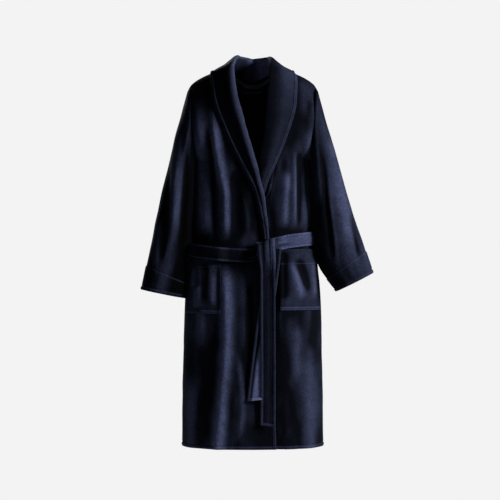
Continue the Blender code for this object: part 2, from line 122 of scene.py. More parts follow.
def through(points, t):
    """Smooth curve through evenly timed points, for t from 0 to 1. Returns one row per t."""
    points = np.array(points, float)
    times = np.linspace(0, 1, len(points))
    columns = [along(list(zip(times, points[:, k])), t) for k in range(points.shape[1])]
    return np.stack(columns, axis=-1)


def xyz(x, y, z):
    """One grid of points from three grids, or numbers, of coordinates."""
    return np.stack(np.broadcast_arrays(x, y, z), axis=-1)


def smoothstep(t):
    t = np.clip(t, 0.0, 1.0)
    return t * t * (3 - 2 * t)


def bump(distance, width):
    return np.exp(-(distance / width) ** 2)


def lattice_noise(x, y, seed):
    """Smooth value noise, from -1 to 1, with one cell per unit."""
    table = np.random.default_rng(seed).uniform(-1, 1, (64, 64))
    xi, yi = np.floor(x).astype(int), np.floor(y).astype(int)
    fx, fy = x - xi, y - yi
    fx, fy = fx * fx * (3 - 2 * fx), fy * fy * (3 - 2 * fy)
    a, b = table[xi % 64, yi % 64], table[(xi + 1) % 64, yi % 64]
    c, d = table[xi % 64, (yi + 1) % 64], table[(xi + 1) % 64, (yi + 1) % 64]
    return (a * (1 - fx) + b * fx) * (1 - fy) + (c * (1 - fx) + d * fx) * fy


def folds(across, up, table):
    """Height of the cloth's folds over a flat layout.

    Each fold is (route, width, height) or (route, width, height, fade in, fade out): a curve
    through the route's points with a soft ridge, or a valley where the height is negative.
    The route, the width and the height are in millimetres, the fades are shares of the route.
    """
    total = np.zeros_like(across)
    for fold in table:
        route = mm(fold[0])
        width, height = mm(fold[1:3])
        fade_in, fade_out = fold[3:] or (0.25, 0.25)
        line = through(route, np.linspace(0, 1, 8 * (len(route) - 1) + 1))
        best = np.full_like(across, 1e9)
        share = np.zeros_like(across)
        for k in range(len(line) - 1):
            a, b = line[k], line[k + 1]
            run = b - a
            s = ((across - a[0]) * run[0] + (up - a[1]) * run[1]) / (run @ run)
            s = np.clip(s, 0, 1)
            gap = (across - a[0] - s * run[0]) ** 2 + (up - a[1] - s * run[1]) ** 2
            nearer = gap < best
            best = np.where(nearer, gap, best)
            share = np.where(nearer, (k + s) / (len(line) - 1), share)
        taper = np.ones_like(across)
        if fade_in:
            taper *= smoothstep(share / fade_in)
        if fade_out:
            taper *= smoothstep((1 - share) / fade_out)
        total += height * taper * np.exp(-best / width ** 2)
    return total


# ---- The body's form ----

def side_x(z):
    """Half the body's width: up the side seam, then along the armhole to the shoulder tip."""
    share = (z - UNDERARM.z) / (SHOULDER_TIP.z - UNDERARM.z)
    armhole = UNDERARM.x + share * (SHOULDER_TIP.x - UNDERARM.x)
    return np.where(z > UNDERARM.z, armhole, along(HALF_WIDTH, z))


def shoulder_z(x):
    """The shoulder slopes down from the neck and curls over at its tip."""
    start = 0.07
    out = (np.abs(x) - start) / (SHOULDER_TIP.x - start)
    slope, curl = 0.0526, 0.0174
    return NECK_HEIGHT - slope * out - curl * np.maximum(out, 0) ** 6


def back_neck_z(x):
    return NECK_HEIGHT - NECK_DIP * (1 - (x / NECK_HALF_WIDTH) ** 2)


def armhole_half_depth(z):
    middle = (SHOULDER_TIP.z + UNDERARM.z) / 2
    reach = (SHOULDER_TIP.z - UNDERARM.z) / 2
    return ARMHOLE_HALF_DEPTH * np.sqrt(np.maximum(0.0, 1 - ((z - middle) / reach) ** 2))


def body_depth(x, z, depths):
    """Depth of a body panel's outer face from the centre plane, rounded off at the shoulder."""
    drop = np.clip((shoulder_z(x) - z) / SHOULDER_ROLL, 0, 1)
    rounding = np.sqrt(1 - (1 - drop) ** 2)
    across = np.minimum(np.abs(x) / side_x(z), 1.0) ** SECTION_POWER
    depth = np.sqrt(along(depths, z) ** 2 * (1 - across) + armhole_half_depth(z) ** 2 * across)
    return depth * rounding + SEAM_GAP


def front_depth(x, z):
    return body_depth(x, z, FRONT_DEPTH)


def left_front_depth(x, z):
    """The left front passes behind the right one, where they overlap."""
    under = 1 - smoothstep((x - along(RIGHT_FRONT_EDGE, z) - 0.006) / 0.035)
    return front_depth(x, z) - LAYER * under


def back_depth(x, z):
    return body_depth(x, z, BACK_DEPTH)


FRONT_EDGE = {RIGHT: RIGHT_FRONT_EDGE, LEFT: LEFT_FRONT_EDGE}
FRONT_FACE = {RIGHT: front_depth, LEFT: left_front_depth}


def off_panel(x, z, depth, facing, distance):
    """Points this far outward from a body panel's outer face, square to its unfolded form."""
    step = 0.002
    slope_x = facing * (depth(x + step, z) - depth(x - step, z)) / (2 * step)
    slope_z = facing * (depth(x, z + step) - depth(x, z - step)) / (2 * step)
    outward = xyz(-slope_x, np.ones_like(x), -slope_z) * facing
    outward /= np.linalg.norm(outward, axis=-1, keepdims=True)
    base = xyz(x, facing * depth(x, z), z)
    return base + outward * np.asarray(distance)[..., None]


# ---- Building cloth ----

TRIM = (0, 0.0012, 0.0025, 0.0045, 0.007, 0.0092, 0.0104, 0.0112, 0.012, 0.0134, 0.016, 0.0195)
RIM = (0, 0.001, 0.0022, 0.0038, 0.0055, 0.0067, 0.0075, 0.0083, 0.0098, 0.0125)
ROLL = (0, 0.0002, 0.0008, 0.0018, 0.0032, 0.005, 0.0075, 0.0105)


def stations(shares, near=(0,), far=(0,)):
    """Grid lines between two edges: shares of the way, with set distances from either edge."""
    near, far = np.array(near, float), np.array(far, float)
    inner = shares[1:-1]
    share = np.concatenate([0 * near, inner, 0 * far + 1])
    offset = np.concatenate([near, near[-1] * (1 - inner) - far[-1] * inner, -far[::-1]])
    return share, offset


def between(first, last, lines):
    """Places of the grid lines that stations gives, from the first edge to the last."""
    share, offset = lines
    return first + (last - first) * share + np.sign(last - first) * offset


def normals(points, closed=False):
    """Unit normals of a grid of points, outward where columns run right and rows run up."""
    if closed:
        padded = np.concatenate([points[:, -2:-1], points, points[:, 1:2]], axis=1)
        across = (padded[:, 2:] - padded[:, :-2]) / 2
    else:
        across = np.gradient(points, axis=1)
    up = np.gradient(points, axis=0)
    square = np.cross(across, up)
    return square / np.maximum(np.linalg.norm(square, axis=-1, keepdims=True), 1e-12)


def raised(points, height, closed=False):
    """The grid moved outward by the height at each point."""
    return points + normals(points, closed) * np.asarray(height)[..., None]


def run_from(points, axis, end):
    """Distance of each grid point from one end of its own row or column."""
    steps = np.linalg.norm(np.diff(points, axis=axis), axis=-1)
    total = np.concatenate([np.zeros_like(np.take(steps, [0], axis)), np.cumsum(steps, axis)], axis)
    if end == "last":
        total = np.take(total, [-1], axis) - total
    return total


def stitched(distance, inset, puff=0.0014, depth=0.0016):
    """Relief of a finished edge: a soft welt out to a line of topstitching in a groove."""
    inside = np.clip(distance / inset, 0, 1)
    return puff * np.sin(np.pi * inside) - depth * bump(distance - inset, GROOVE)


def cloth(name, points, thickness, body="robe", offset=-1, closed=False, rim=SOFT_RIM, nap=1.0):
    """A piece of cloth from a grid of points on its outer face, with rounded edges.

    offset is -1 where the thickness lies inside the grid and 0 where it lies on both sides.
    The last argument is painted light and shade that scales the colour: painted shade, low, in
    folds' valleys and painted highlight, high, on ridges and rims.
    """
    nap = nap + 0 * points[..., 0]
    rows, columns = points.shape[:2]
    if closed:
        columns -= 1
        points, nap = points[:, :-1], nap[:, :-1]
    i, j = np.meshgrid(np.arange(rows - 1), np.arange(columns if closed else columns - 1))
    right = (j + 1) % columns
    faces = np.stack([i * columns + j, i * columns + right,
                      (i + 1) * columns + right, (i + 1) * columns + j], axis=-1)
    mesh = bpy.data.meshes.new(name)
    mesh.from_pydata(points.reshape(-1, 3).tolist(), [], faces.reshape(-1, 4).tolist())
    mesh.attributes.new("nap", "FLOAT", "POINT").data.foreach_set("value", nap.ravel())
    mesh.shade_smooth()
    piece = bpy.data.objects.new(name, mesh)
    bpy.context.scene.collection.objects.link(piece)
    solid = piece.modifiers.new("Thickness", "SOLIDIFY")
    solid.thickness = thickness
    solid.offset = offset
    bevel = piece.modifiers.new("Soft rims", "BEVEL")
    bevel.width = rim
    bevel.segments = 2
    bevel.angle_limit = math.radians(50)
    settle(piece)
    if body:
        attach(piece, body)
    return piece


def lay(piece, node, slot, **sheet):
    piece.data.materials.append(PAINT[slot])
    if node:
        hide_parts(node)


def on_columns(lines):
    """Grid lines from stations, laid along the columns of a grid."""
    return tuple(part[None, :] for part in lines)


def on_rows(lines):
    """The same, laid along its rows."""
    return tuple(part[:, None] for part in lines)


def settle(piece):
    """Apply the piece's modifiers to its mesh."""
    graph = bpy.context.evaluated_depsgraph_get()
    rough = piece.data
    piece.data = bpy.data.meshes.new_from_object(piece.evaluated_get(graph))
    piece.modifiers.clear()
    bpy.data.meshes.remove(rough)
    piece.data.shade_smooth()
    piece.data.set_sharp_from_angle(angle=math.radians(70))


# ---- Folds ----

RIGHT_FOLDS = [
    # above the belt
    ([(-164, -35), (-161, -180), (-151, -350), (-148, -510)], 20, 6.8, 0.4, 0.15),
    ([(-139.5, -155), (-124, -279), (-118, -510)], 7, -5),
    ([(-124, -77.5), (-111.6, -217), (-96, -294.5), (-82, -372), (-80, -511.5)], 15, 9, 0.2, 0.12),
    ([(-53, -280), (-53, -400), (-50, -510)], 22, -7),
    ([(-40, -341), (-18.6, -418.5), (-15.5, -496)], 4.5, 1.8),
    # below it
    ([(-157, -530), (-157, -680), (-160, -850)], 16, 5),
    ([(-111.6, -775), (-135, -900), (-164, -1054)], 12, -5),
    ([(-85, -560), (-79, -775), (-88, -930), (-110, -1160)], 18, 9.5, 0.12, 0),
    ([(-46.5, -837), (-31, -992), (-40, -1120)], 8, 4),
    ([(-9.3, -600), (-9.3, -800), (-9.3, -1000)], 12, -5),
    ([(-185, -900), (-190, -1160)], 14, 4, 0.3, 0),
    ([(35, -750), (50, -1160)], 20, -4, 0.3, 0),
]
LEFT_FOLDS = [
    ([(108.5, -279), (100, -380), (96, -480.5)], 10, 5),
    ([(128.7, -217), (128.7, -471)], 6, 4),
    ([(142.6, -217), (142.6, -471)], 6, -4),
    ([(172, -150), (174, -300), (176, -480)], 13, 4),
    ([(99, -930), (145.7, -1160)], 10, -2.8, 0.3, 0),
    ([(106, -980), (116, -1080)], 6, -3),
    ([(133, -750), (133, -950)], 14, 3),
    ([(165, -800), (178, -1160)], 16, 4, 0.3, 0),
]
BACK_FOLDS = [
    ([(-120, -100), (-100, -300), (-85, -470)], 20, 5),
    ([(115, -120), (105, -300), (80, -470)], 22, 5),
    ([(30, -200), (22, -470)], 16, 4),
    ([(-35, -220), (-28, -470)], 14, -3),
    ([(60, -570), (75, -850), (95, -1160)], 20, 8, 0.2, 0),
    ([(-70, -570), (-85, -850), (-100, -1160)], 22, 8, 0.2, 0),
    ([(-10, -570), (0, -850), (-5, -1160)], 18, 6, 0.2, 0),
    ([(35, -700), (45, -1160)], 14, -5, 0.3, 0),
    ([(-45, -660), (-50, -1160)], 16, -5, 0.3, 0),
    ([(135, -600), (155, -1160)], 18, 6, 0.3, 0),
    ([(-140, -600), (-160, -1160)], 18, 6, 0.3, 0),
]
COLLAR_OUTER = {  # height and x of the collar's outer edge on the fronts
    RIGHT: mm([(-380, 19), (-333, 3), (-270, -30), (-187, -72), (-80, -117), (4, -127)]),
    LEFT: mm([(-316, 49), (-264, 70), (-186, 102), (-95, 129), (-6, 134)]),
}


def wrinkles(x, z, seed):
    """Small uneven creases of hanging plush, longer up and down than across."""
    streaks = 0.0011 * lattice_noise(x / 0.024 + 7, z / 0.15 + 3, seed)
    ripples = 0.0007 * lattice_noise(x / 0.016 + 5, z / 0.045 + 9, seed + 1)
    swells = 0.0012 * lattice_noise(x / 0.06 + 2, z / 0.11 + 4, seed + 2)
    return streaks + ripples + swells


def settled_relief(x, z, relief, seed, belt_line=BELT_CENTRE):
    """Fold relief with wrinkles added, pressed down under the belt and near the shoulder."""
    relief = relief + wrinkles(x, z, seed)
    relief *= smoothstep((shoulder_z(x) - z) / 0.05)
    held = bump(z - along(belt_line, x), 0.034)
    return relief * (1 - held) - 0.001 * held


def right_relief(x, z):
    """Folds of the right front, which die out under the collar."""
    clear = smoothstep((along(COLLAR_OUTER[RIGHT], z) - x) / 0.02) * (z > -0.4) + (z <= -0.4)
    return settled_relief(x, z, folds(x, z, RIGHT_FOLDS), 11) * np.maximum(clear, 0.15)


def left_relief(x, z):
    """Folds of the left front, which follows the right one where it passes behind."""
    clear = smoothstep((x - along(COLLAR_OUTER[LEFT], z)) / 0.02) * (z > -0.33) + (z <= -0.33)
    own = settled_relief(x, z, folds(x, z, LEFT_FOLDS), 23) * np.maximum(clear, 0.15)
    covered = 1 - smoothstep((x - along(RIGHT_FRONT_EDGE, z) - 0.004) / 0.03)
    return own * (1 - covered) + right_relief(x, z) * covered


def back_relief(x, z):
    relief = settled_relief(x, z, folds(x, z, BACK_FOLDS), 37, BACK_BELT_CENTRE)
    return relief * smoothstep((-0.02 - z) / 0.06)


FRONT_RELIEF = {RIGHT: right_relief, LEFT: left_relief}
TAIL_CLEARANCE = 0.1335   # depth at which the belt's tails hang in front of the fronts


def tail_room(x, z, height, depth):
    """Keeps the front's relief from reaching the belt's tails."""
    near = smoothstep((x + 0.035) / 0.02) * smoothstep((0.085 - x) / 0.015)
    near *= smoothstep((BELOW_BELT - z) / 0.02)
    limit = TAIL_CLEARANCE - depth(x, z)
    return np.where(height > limit, limit * near + height * (1 - near), height)


# ---- Body panels ----

PANEL_ROWS = on_rows(stations(np.linspace(0, 1, 232), TRIM, ROLL))


def panel_grid(edges, top, columns):
    """x and z of a panel's grid lines, from the hem up and from the first edge to the second."""
    across = on_columns(columns)
    z = np.full((len(PANEL_ROWS[0]), len(columns[0])), float(HEM))
    for _ in range(6):
        x = between(*edges(z), across)
        z = between(HEM, top(x), PANEL_ROWS)
    return x, z


def armhole_dip(x, z):
    """The panel turns in a little where it is sewn to the sleeve."""
    from_seam = side_x(z) - np.abs(x)
    above = smoothstep((z - UNDERARM.z + 0.01) / 0.03)
    return -0.0028 * bump(from_seam, 0.006) * above


def fold_nap(relief, level, share):
    """Painted highlight along the folds' ridges and painted shade in their valleys."""
    full_fold = 0.008
    return np.clip(level + share * relief / full_fold, DARKEST_PAINTED_SHADE, BRIGHTEST_PAINTED_LIGHT)


def rim_nap(distance, inset=STITCH_INSET):
    """Painted highlight lines at a finished edge and along the row of stitches inside it."""
    return bump(distance, 0.0024) + 0.8 * bump(distance - inset + 0.0032, 0.002)


def edge_relief(from_edge, z):
    """Stitched borders along the hem and the free edge."""
    hem = stitched(z - HEM, STITCH_INSET)
    return hem + stitched(from_edge, STITCH_INSET) * smoothstep((z - HEM) / 0.004)


def right_front_nap(x, z, relief):
    """Painted shade between the collar and the belt, where the lap turns from the light, with
    painted highlight lines along the free edge and the hem.
    """
    shaded = smoothstep((x + 0.072) / 0.03) * smoothstep((z - ABOVE_BELT) / 0.03)
    rims = np.maximum(rim_nap(along(RIGHT_FRONT_EDGE, z) - x), rim_nap(z - HEM))
    return fold_nap(relief, 0.13 - 0.09 * shaded, 1.05 - 0.55 * shaded) + 0.48 * rims


def left_front_nap(x, z, relief):
    """Painted light, brighter towards the side, and painted shadow beside the long tail, with a
    painted highlight line along the hem.
    """
    from_edge = x - along(RIGHT_FRONT_EDGE, z)
    chest = smoothstep((z - ABOVE_BELT) / 0.03)
    skirt_level = 0.06 + 0.07 * smoothstep(from_edge / 0.11)
    chest_level = 0.04 + 0.1 * smoothstep((x - 0.13) / 0.05)
    level = skirt_level * (1 - chest) + chest_level * chest
    nap = fold_nap(relief, level, 0.9 + 0.5 * chest)
    beside_tail = bump(x - 0.076, 0.007) * smoothstep((BELOW_BELT - z) / 0.03)
    return nap * (1 - 0.7 * beside_tail) + 0.48 * rim_nap(z - HEM)


FRONT_PAINTED_SHADING = {RIGHT: right_front_nap, LEFT: left_front_nap}
FRONT_COLUMNS = {RIGHT: 56, LEFT: 60}
FRONT_FLAT = {RIGHT: (0.31, 1.24), LEFT: (0.33, 1.24)}
FRONT_AREA = {RIGHT: 0.275, LEFT: 0.28}


def front(side):
    """A front panel, from its free edge to the side seam."""
    eased = np.sin(np.pi / 2 * np.linspace(0, 1, FRONT_COLUMNS[side]))
    edge, depth = FRONT_EDGE[side], FRONT_FACE[side]

    def edges(z):
        return along(edge, z), side * side_x(z)

    x, z = panel_grid(edges, shoulder_z, stations(eased, TRIM))
    relief = FRONT_RELIEF[side](x, z)
    height = relief + edge_relief(side * (x - along(edge, z)), z)
    height = tail_room(x, z, height, depth) + armhole_dip(x, z)
    points = off_panel(x, z, depth, -1, height)
    nap = FRONT_PAINTED_SHADING[side](x, z, relief)
    if side == RIGHT:
        points, nap = points[:, ::-1], nap[:, ::-1]
    name = f"{SIDE[side]}_front"
    piece = cloth(f"{name}_cloth", points, PLUSH, nap=nap)
    lay(piece, name, "body_plush", flat=FRONT_FLAT[side], area=FRONT_AREA[side], held="hung",
        rests_on=["back_panel_cloth"])


def back_panel():
    """The back, from side seam to side seam."""
    share = np.linspace(0, 1, 104)
    columns = stations(0.25 * share + 0.75 * (0.5 - 0.5 * np.cos(np.pi * share)))

    def edges(z):
        return side_x(z), -side_x(z)

    def top(x):
        return np.where(np.abs(x) < NECK_HALF_WIDTH, back_neck_z(x), shoulder_z(x))

    x, z = panel_grid(edges, top, columns)
    relief = back_relief(x, z)
    centre_seam = -0.0016 * bump(x - 0.004, 0.0035)
    height = relief + stitched(z - HEM, STITCH_INSET) + centre_seam + armhole_dip(x, z)
    points = off_panel(x, z, back_depth, 1, height)
    # Painted highlight on the folds' ridges and along the hem, painted shade in the folds' valleys.
    nap = fold_nap(relief, 0.42, 1.3) + 0.4 * rim_nap(z - HEM)
    piece = cloth("back_panel_cloth", points, PLUSH, nap=nap)
    lay(piece, "back_panel", "body_plush", flat=(0.58, 1.2), area=0.62, held="hung",
        rests_on=["neck_tape_woven"])


def facing(side):
    """The strip that backs a front edge on the inside."""
    depth = FRONT_FACE[side]
    z = np.linspace(HEM + 0.006, -0.41, 150)[:, None]
    inward = np.linspace(0.0025, 0.06, 14)[None, :]
    x = along(FRONT_EDGE[side], z) + side * inward
    z = z + 0 * x
    height = tail_room(x, z, FRONT_RELIEF[side](x, z), depth) - PLUSH - 0.0012
    points = off_panel(x, z, depth, -1, height)
    points = points[:, ::-1] if side == RIGHT else points
    name = f"{SIDE[side]}_front_facing"
    piece = cloth(f"{name}_cloth", points, BACKING, rim=THIN_RIM)
    lay(piece, name, "trim_plush", flat=(0.06, 0.735), held="hung",
        rests_on=[f"{SIDE[side]}_front_cloth"])


# ---- Collar ----

COLLAR_PLUSH = 0.0044
NECK_COLLAR = {  # seam, roll line and outer edge, from the centre back over the shoulder
    RIGHT: mm([((0.4, 87.5, 0.5), (0.4, 80, 68), (0.4, 107, -20)),
               ((50, 60.5, 21.5), (36, 52, 72), (88, 77.5, -2)),
               ((74, 10, 48), (50, 10, 72), (127, 14, 23)),
               ((73, -35, 38), (58, -42, 55), (129, -30, 16))]),
    LEFT: mm([((0.4, 87.5, 0.5), (0.4, 80, 68), (0.4, 107, -20)),
              ((50, 60.5, 21.5), (45, 52, 70), (88, 77.5, -2)),
              ((74, 10, 48), (59, 10, 66), (127, 14, 23)),
              ((73, -35, 38), (57, -42, 51), (129, -30, 16))]),
}
FRONT_COLLAR = {  # x and z of the roll line, then of the outer edge, going down
    RIGHT: mm([((-62.5, 10), (-127, 4)), ((-52, -78), (-117, -80)), ((-22, -186), (-75, -187)),
               ((1.5, -263.5), (-35, -270)), ((21, -332), (-2, -333)), ((31, -378), (13, -380)),
               ((37, -425), (22.5, -425)), ((42, -465), (28.5, -465)), ((45, -499), (32, -499))]),
    LEFT: mm([((54, 10), (134, -6)), ((46.5, -93), (129, -95)), ((37, -186), (102, -186)),
              ((26, -264), (70, -264)), ((20, -316), (48, -318)), ((20, -352), (36, -356))]),
}
ROLL_RADIUS = {  # by share of the way from the centre back to the collar's end
    RIGHT: [(0, 0.005), (0.25, 0.005), (0.38, 0.01), (0.56, 0.01), (0.7, 0.0055), (1, 0.003)],
    LEFT: [(0, 0.005), (0.33, 0.005), (0.5, 0.006), (0.8, 0.006), (1, 0.0045)],
}
COLLAR_FLAT = 0.005       # how far the collar stands off the front where it has run out
COLLAR_LIFT = {  # how far the roll line, the middle and the edge stand off where it is wide
    RIGHT: (0.013, 0.012, 0.0046),
    LEFT: (0.0085, 0.019, 0.0046),
}


def neck_collar_section(side, row):
    """Seam, roll line, middle of the fall, outer edge and outward direction round the neck."""
    seam, roll, edge = (np.array(point) * (side, 1, 1) for point in row)
    outward = (edge - roll) * (1, 1, 0)
    return [seam, roll, (roll + edge) / 2, edge, outward / np.linalg.norm(outward)]


def front_collar_section(side, row):
    """The same for a section on the front, where the collar lies on the front panel."""
    roll, edge = row

    def on_front(x, z, lift):
        return off_panel(np.float64(x), np.float64(z), FRONT_FACE[side], -1, lift)

    full = min(1.0, abs(roll[0] - edge[0]) / 0.05)
    roll_lift, middle_lift, edge_lift = COLLAR_LIFT[side]
    roll_lift = COLLAR_FLAT + (roll_lift - COLLAR_FLAT) * full
    middle_lift = COLLAR_FLAT + (middle_lift - COLLAR_FLAT) * full
    seam = on_front(along(FRONT_EDGE[side], roll[1]) - side * 0.0045, roll[1], -0.002)
    middle = on_front((roll[0] + edge[0]) / 2, (roll[1] + edge[1]) / 2, middle_lift)
    return [seam, on_front(*roll, roll_lift), middle, on_front(*edge, edge_lift),
            np.array((0.0, -1.0, 0.0))]


def collar(side):
    """Half of the shawl collar: up from the neck seam, over the roll line and down outside."""
    sections = [neck_collar_section(side, row) for row in NECK_COLLAR[side]]
    sections += [front_collar_section(side, row) for row in FRONT_COLLAR[side]]
    flat_rows = np.array(sections).reshape(len(sections), 15)
    share = np.linspace(0, 1, 190)
    places = through(flat_rows, share).reshape(-1, 5, 3)
    radius = along(ROLL_RADIUS[side], share)[:, None]
    seam, roll, middle, edge, outward = (places[:, k] for k in range(5))
    tip = roll - (seam + edge) / 2
    tip /= np.linalg.norm(tip, axis=1, keepdims=True)
    out = outward - np.sum(outward * tip, axis=1, keepdims=True) * tip
    out *= radius / np.linalg.norm(out, axis=1, keepdims=True)
    profile = np.stack([seam, (seam + roll - out) / 2, roll - out, roll + tip * radius,
                        roll + out, middle, edge])
    fall = 4 + 2 * np.sin(np.pi / 2 * np.linspace(0, 1, 46))
    steps = np.concatenate([np.linspace(0, 2, 14)[:-1], np.linspace(2, 4, 15)[:-1], fall]) / 6
    points = through(profile.reshape(7, -1), steps).reshape(len(steps), -1, 3)[::-1]
    points = points[:, ::-1] if side == LEFT else points
    from_edge = run_from(points, 0, "first")
    length = run_from(points, 1, "last" if side == LEFT else "first")
    relief = stitched(from_edge, STITCH_INSET, 0.002, 0.0018)
    relief += collar_swell(side, length, from_edge)
    # Painted light and shade over the collar, with painted highlight lines along its edge and
    # stitching.
    nap = COLLAR_PAINTED_SHADING[side](share[::-1] if side == LEFT else share, steps[::-1, None] * 6)
    nap = nap + COLLAR_RIM_PAINTED_HIGHLIGHT[side] * rim_nap(from_edge)
    name = f"{SIDE[side]}_collar"
    piece = cloth(f"{name}_cloth", raised(points, relief), COLLAR_PLUSH, offset=0, rim=THICK_RIM,
                  nap=nap)
    lay(piece, name, "collar_plush", flat=(0.17, 0.66), area=0.08, held="folded",
        rests_on=[f"{SIDE[side]}_front_cloth", "back_panel_cloth"])


COLLAR_WAVES = {RIGHT: (3, 2, 71), LEFT: (8, 5, 75)}  # the noise's place and seed


def collar_swell(side, length, from_edge):
    """Soft unevenness of the collar's surface."""
    move_along, move_in, seed = COLLAR_WAVES[side]
    waves = lattice_noise(length / 0.05 + move_along, from_edge / 0.06 + move_in, seed)
    ripples = lattice_noise(length / 0.018, from_edge / 0.03, seed + 1)
    return 0.0016 * waves + 0.0008 * ripples


BACK_COLLAR_PAINTED_SHADING = 0.42


def joined_at_back(outside, share):
    """Both halves' outsides meet at one level of painted shading at the centre back."""
    return outside + (BACK_COLLAR_PAINTED_SHADING - outside) * (1 - smoothstep(share / 0.09))


def right_collar_nap(share, across):
    """Painted shade on the fall, which turns away from the light.

    share runs from the centre back to the collar's end. across is 3 at the roll, 6 at the edge.
    """
    fall = smoothstep((across - 3.6) / 0.8)
    inside = smoothstep((2.6 - across) / 0.6) * smoothstep((0.3 - share) / 0.08)
    lower = smoothstep((share - 0.3) / 0.1)
    outside = (0.85 - 0.3 * lower) - (0.79 - 0.3 * lower) * fall
    # Painted shade inside the stand, where the light reaches, lighter towards the centre back.
    within = 0.22 + 1.4 * (1 - smoothstep(share / 0.07))
    return joined_at_back(outside, share) * (1 - inside) + within * inside


def left_collar_nap(share, across):
    """Painted shade beside the roll and painted light towards the edge."""
    near_roll = bump(across - 3.4, 1.3)
    inside = smoothstep((2.6 - across) / 0.6) * smoothstep((0.34 - share) / 0.08)
    outer_half = smoothstep((across - 4.3) / 0.7)
    lit = 0.26 * bump(share - 0.4, 0.1) + 0.07 * bump(across - 5.0, 0.5)
    outside = 0.14 - 0.12 * near_roll + lit * outer_half
    # Painted light inside the stand, which lies in shadow, less of it towards the centre back.
    within = 1.62 + 2.0 * smoothstep(share / 0.07)
    return joined_at_back(outside, share) * (1 - inside) + within * inside


COLLAR_PAINTED_SHADING = {RIGHT: right_collar_nap, LEFT: left_collar_nap}
COLLAR_RIM_PAINTED_HIGHLIGHT = {RIGHT: 0.36, LEFT: 0.4}


# ---- Sleeves ----

SLEEVE_OUTER = {RIGHT: mm([(-201.5, -25), (-279, -338), (-344, -654)]),
                LEFT: mm([(201.5, -25), (282, -314.5), (369, -604)])}
SLEEVE_INNER = {RIGHT: mm([(-178, -250), (-176, -365), (-180, -470), (-194, -580), (-209.5, -681)]),
                LEFT: mm([(178, -250), (176, -360), (181, -465), (200.5, -573), (260, -659)])}
SLEEVE_END_HALF_DEPTH = 0.055
SLEEVE_FORWARD = 0.045
SLEEVE_COLUMNS = 122
SLEEVE_LENGTH = 0.66      # from the armhole to the hand, about
CUFF_START = 0.885        # share of that length
CUFF_STAND = 0.0018
SLEEVE_BAND = {  # painted shading level, then strength, direction and spread of the painted highlight band
    RIGHT: (0.07, 0.26, -1.38, 0.4),
    LEFT: (0.06, 0.17, -1.05, 0.75),
}
SLEEVE_BODY_SHADOW_TURN = {RIGHT: 1.5, LEFT: 2.2}  # turn past which painted shadow darkens the sleeve beside the body
SLEEVE_SEWN = 0.006       # length of sleeve at the armhole that stays with the body
SLEEVE_FOLDS = {
    RIGHT: [([(-232, -100), (-238, -300), (-243, -530)], 16, 7),
            ([(-203, -200), (-213, -400), (-222, -560)], 9, -6),
            ([(-262, -220), (-270, -420), (-285, -600)], 12, -5),
            ([(-290, -400), (-305, -620)], 12, 4)],
    LEFT: [([(235, -110), (262, -270), (286, -420), (305, -560)], 22, 6),
           ([(212, -220), (228, -400), (250, -580)], 9, -6),
           ([(228, -300), (245, -450), (262, -600)], 8, 3),
           ([(300, -400), (330, -570)], 10, -3)],
}


def sleeve_ring(side, turn, t, stand):
    """Points round the sleeve: turn is 0 outside and pi inside, t runs from armhole to hand."""
    outer = through(SLEEVE_OUTER[side], t)
    inner = through(SLEEVE_INNER[side], t)
    centre, reach = (outer + inner) / 2, (outer - inner) / 2
    half_depth = ARMHOLE_HALF_DEPTH + (SLEEVE_END_HALF_DEPTH - ARMHOLE_HALF_DEPTH) * smoothstep(t)
    across = reach * (1 + stand / np.linalg.norm(reach, axis=-1, keepdims=True))
    x = centre[..., 0] + across[..., 0] * np.cos(turn)
    y = (half_depth + stand) * np.sin(turn) - SLEEVE_FORWARD * t ** 1.5
    z = centre[..., 1] + across[..., 1] * np.cos(turn)
    return xyz(x, y, z)


def sleeve_grid(side, t, stand):
    turn = np.linspace(-np.pi, np.pi, SLEEVE_COLUMNS)
    turn = turn[::-1] if side == RIGHT else turn
    turn, t = np.meshgrid(turn, t)
    return turn, t, sleeve_ring(side, turn, t, stand)


def sleeve_relief(side, turn, t, points):
    x, z = points[..., 0], points[..., 2]
    seed = 51 if side == RIGHT else 61
    front = smoothstep(0.35 - np.sin(turn))
    relief = front * folds(x, z, SLEEVE_FOLDS[side])
    behind = 0.005 * lattice_noise(turn * 1.6 + 9, t * 2.2 + 3, seed + 5)
    relief += (1 - front) * behind + wrinkles(turn * 0.085, z, seed)
    seam = -0.0016 * bump(np.abs(turn) - np.pi, 0.05)
    return (relief + seam) * smoothstep(t / 0.12) - 0.0028 * bump(t, 0.012)


def sleeve_nap(side, turn, relief):
    """A painted highlight band down the sleeve, with painted shadow where it lies against the body.
    """
    level, strength, direction, spread = SLEEVE_BAND[side]
    away = np.abs(turn - direction)
    away = np.minimum(away, 2 * np.pi - away)
    # The back half of the sleeve is painted lighter.
    behind = 0.2 * smoothstep(np.sin(turn))
    in_body_shadow = smoothstep((np.abs(turn) - SLEEVE_BODY_SHADOW_TURN[side]) / 0.5) * smoothstep(0.3 - np.sin(turn))
    nap = fold_nap(relief, level + strength * bump(away, spread) + behind, 0.8)
    return nap * (1 - 0.95 * in_body_shadow)


def sleeve(side):
    """A sleeve, sewn to the body at the armhole."""
    rows = np.concatenate([[0, 0.0025, 0.006, 0.011, 0.018], np.linspace(0.026, 0.9, 128)])[::-1]
    turn, t, points = sleeve_grid(side, rows, 0)
    relief = sleeve_relief(side, turn, t, points)
    points = raised(points, relief, closed=True)
    name = f"{SIDE[side]}_sleeve"
    nap = sleeve_nap(side, turn, relief)
    piece = cloth(f"{name}_cloth", points, PLUSH, body=None, closed=True, nap=nap)
    start = (SHOULDER_TIP + UNDERARM) / 2
    armhole = UNDERARM - SHOULDER_TIP
    away = Vector((-armhole.z, 0, armhole.x)).normalized()
    start += away * SLEEVE_SEWN
    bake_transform(piece)
    lay(piece, name, "body_plush", flat=(0.44, 0.56), area=0.19, held="hung",
        rests_on=["back_panel_cloth"])


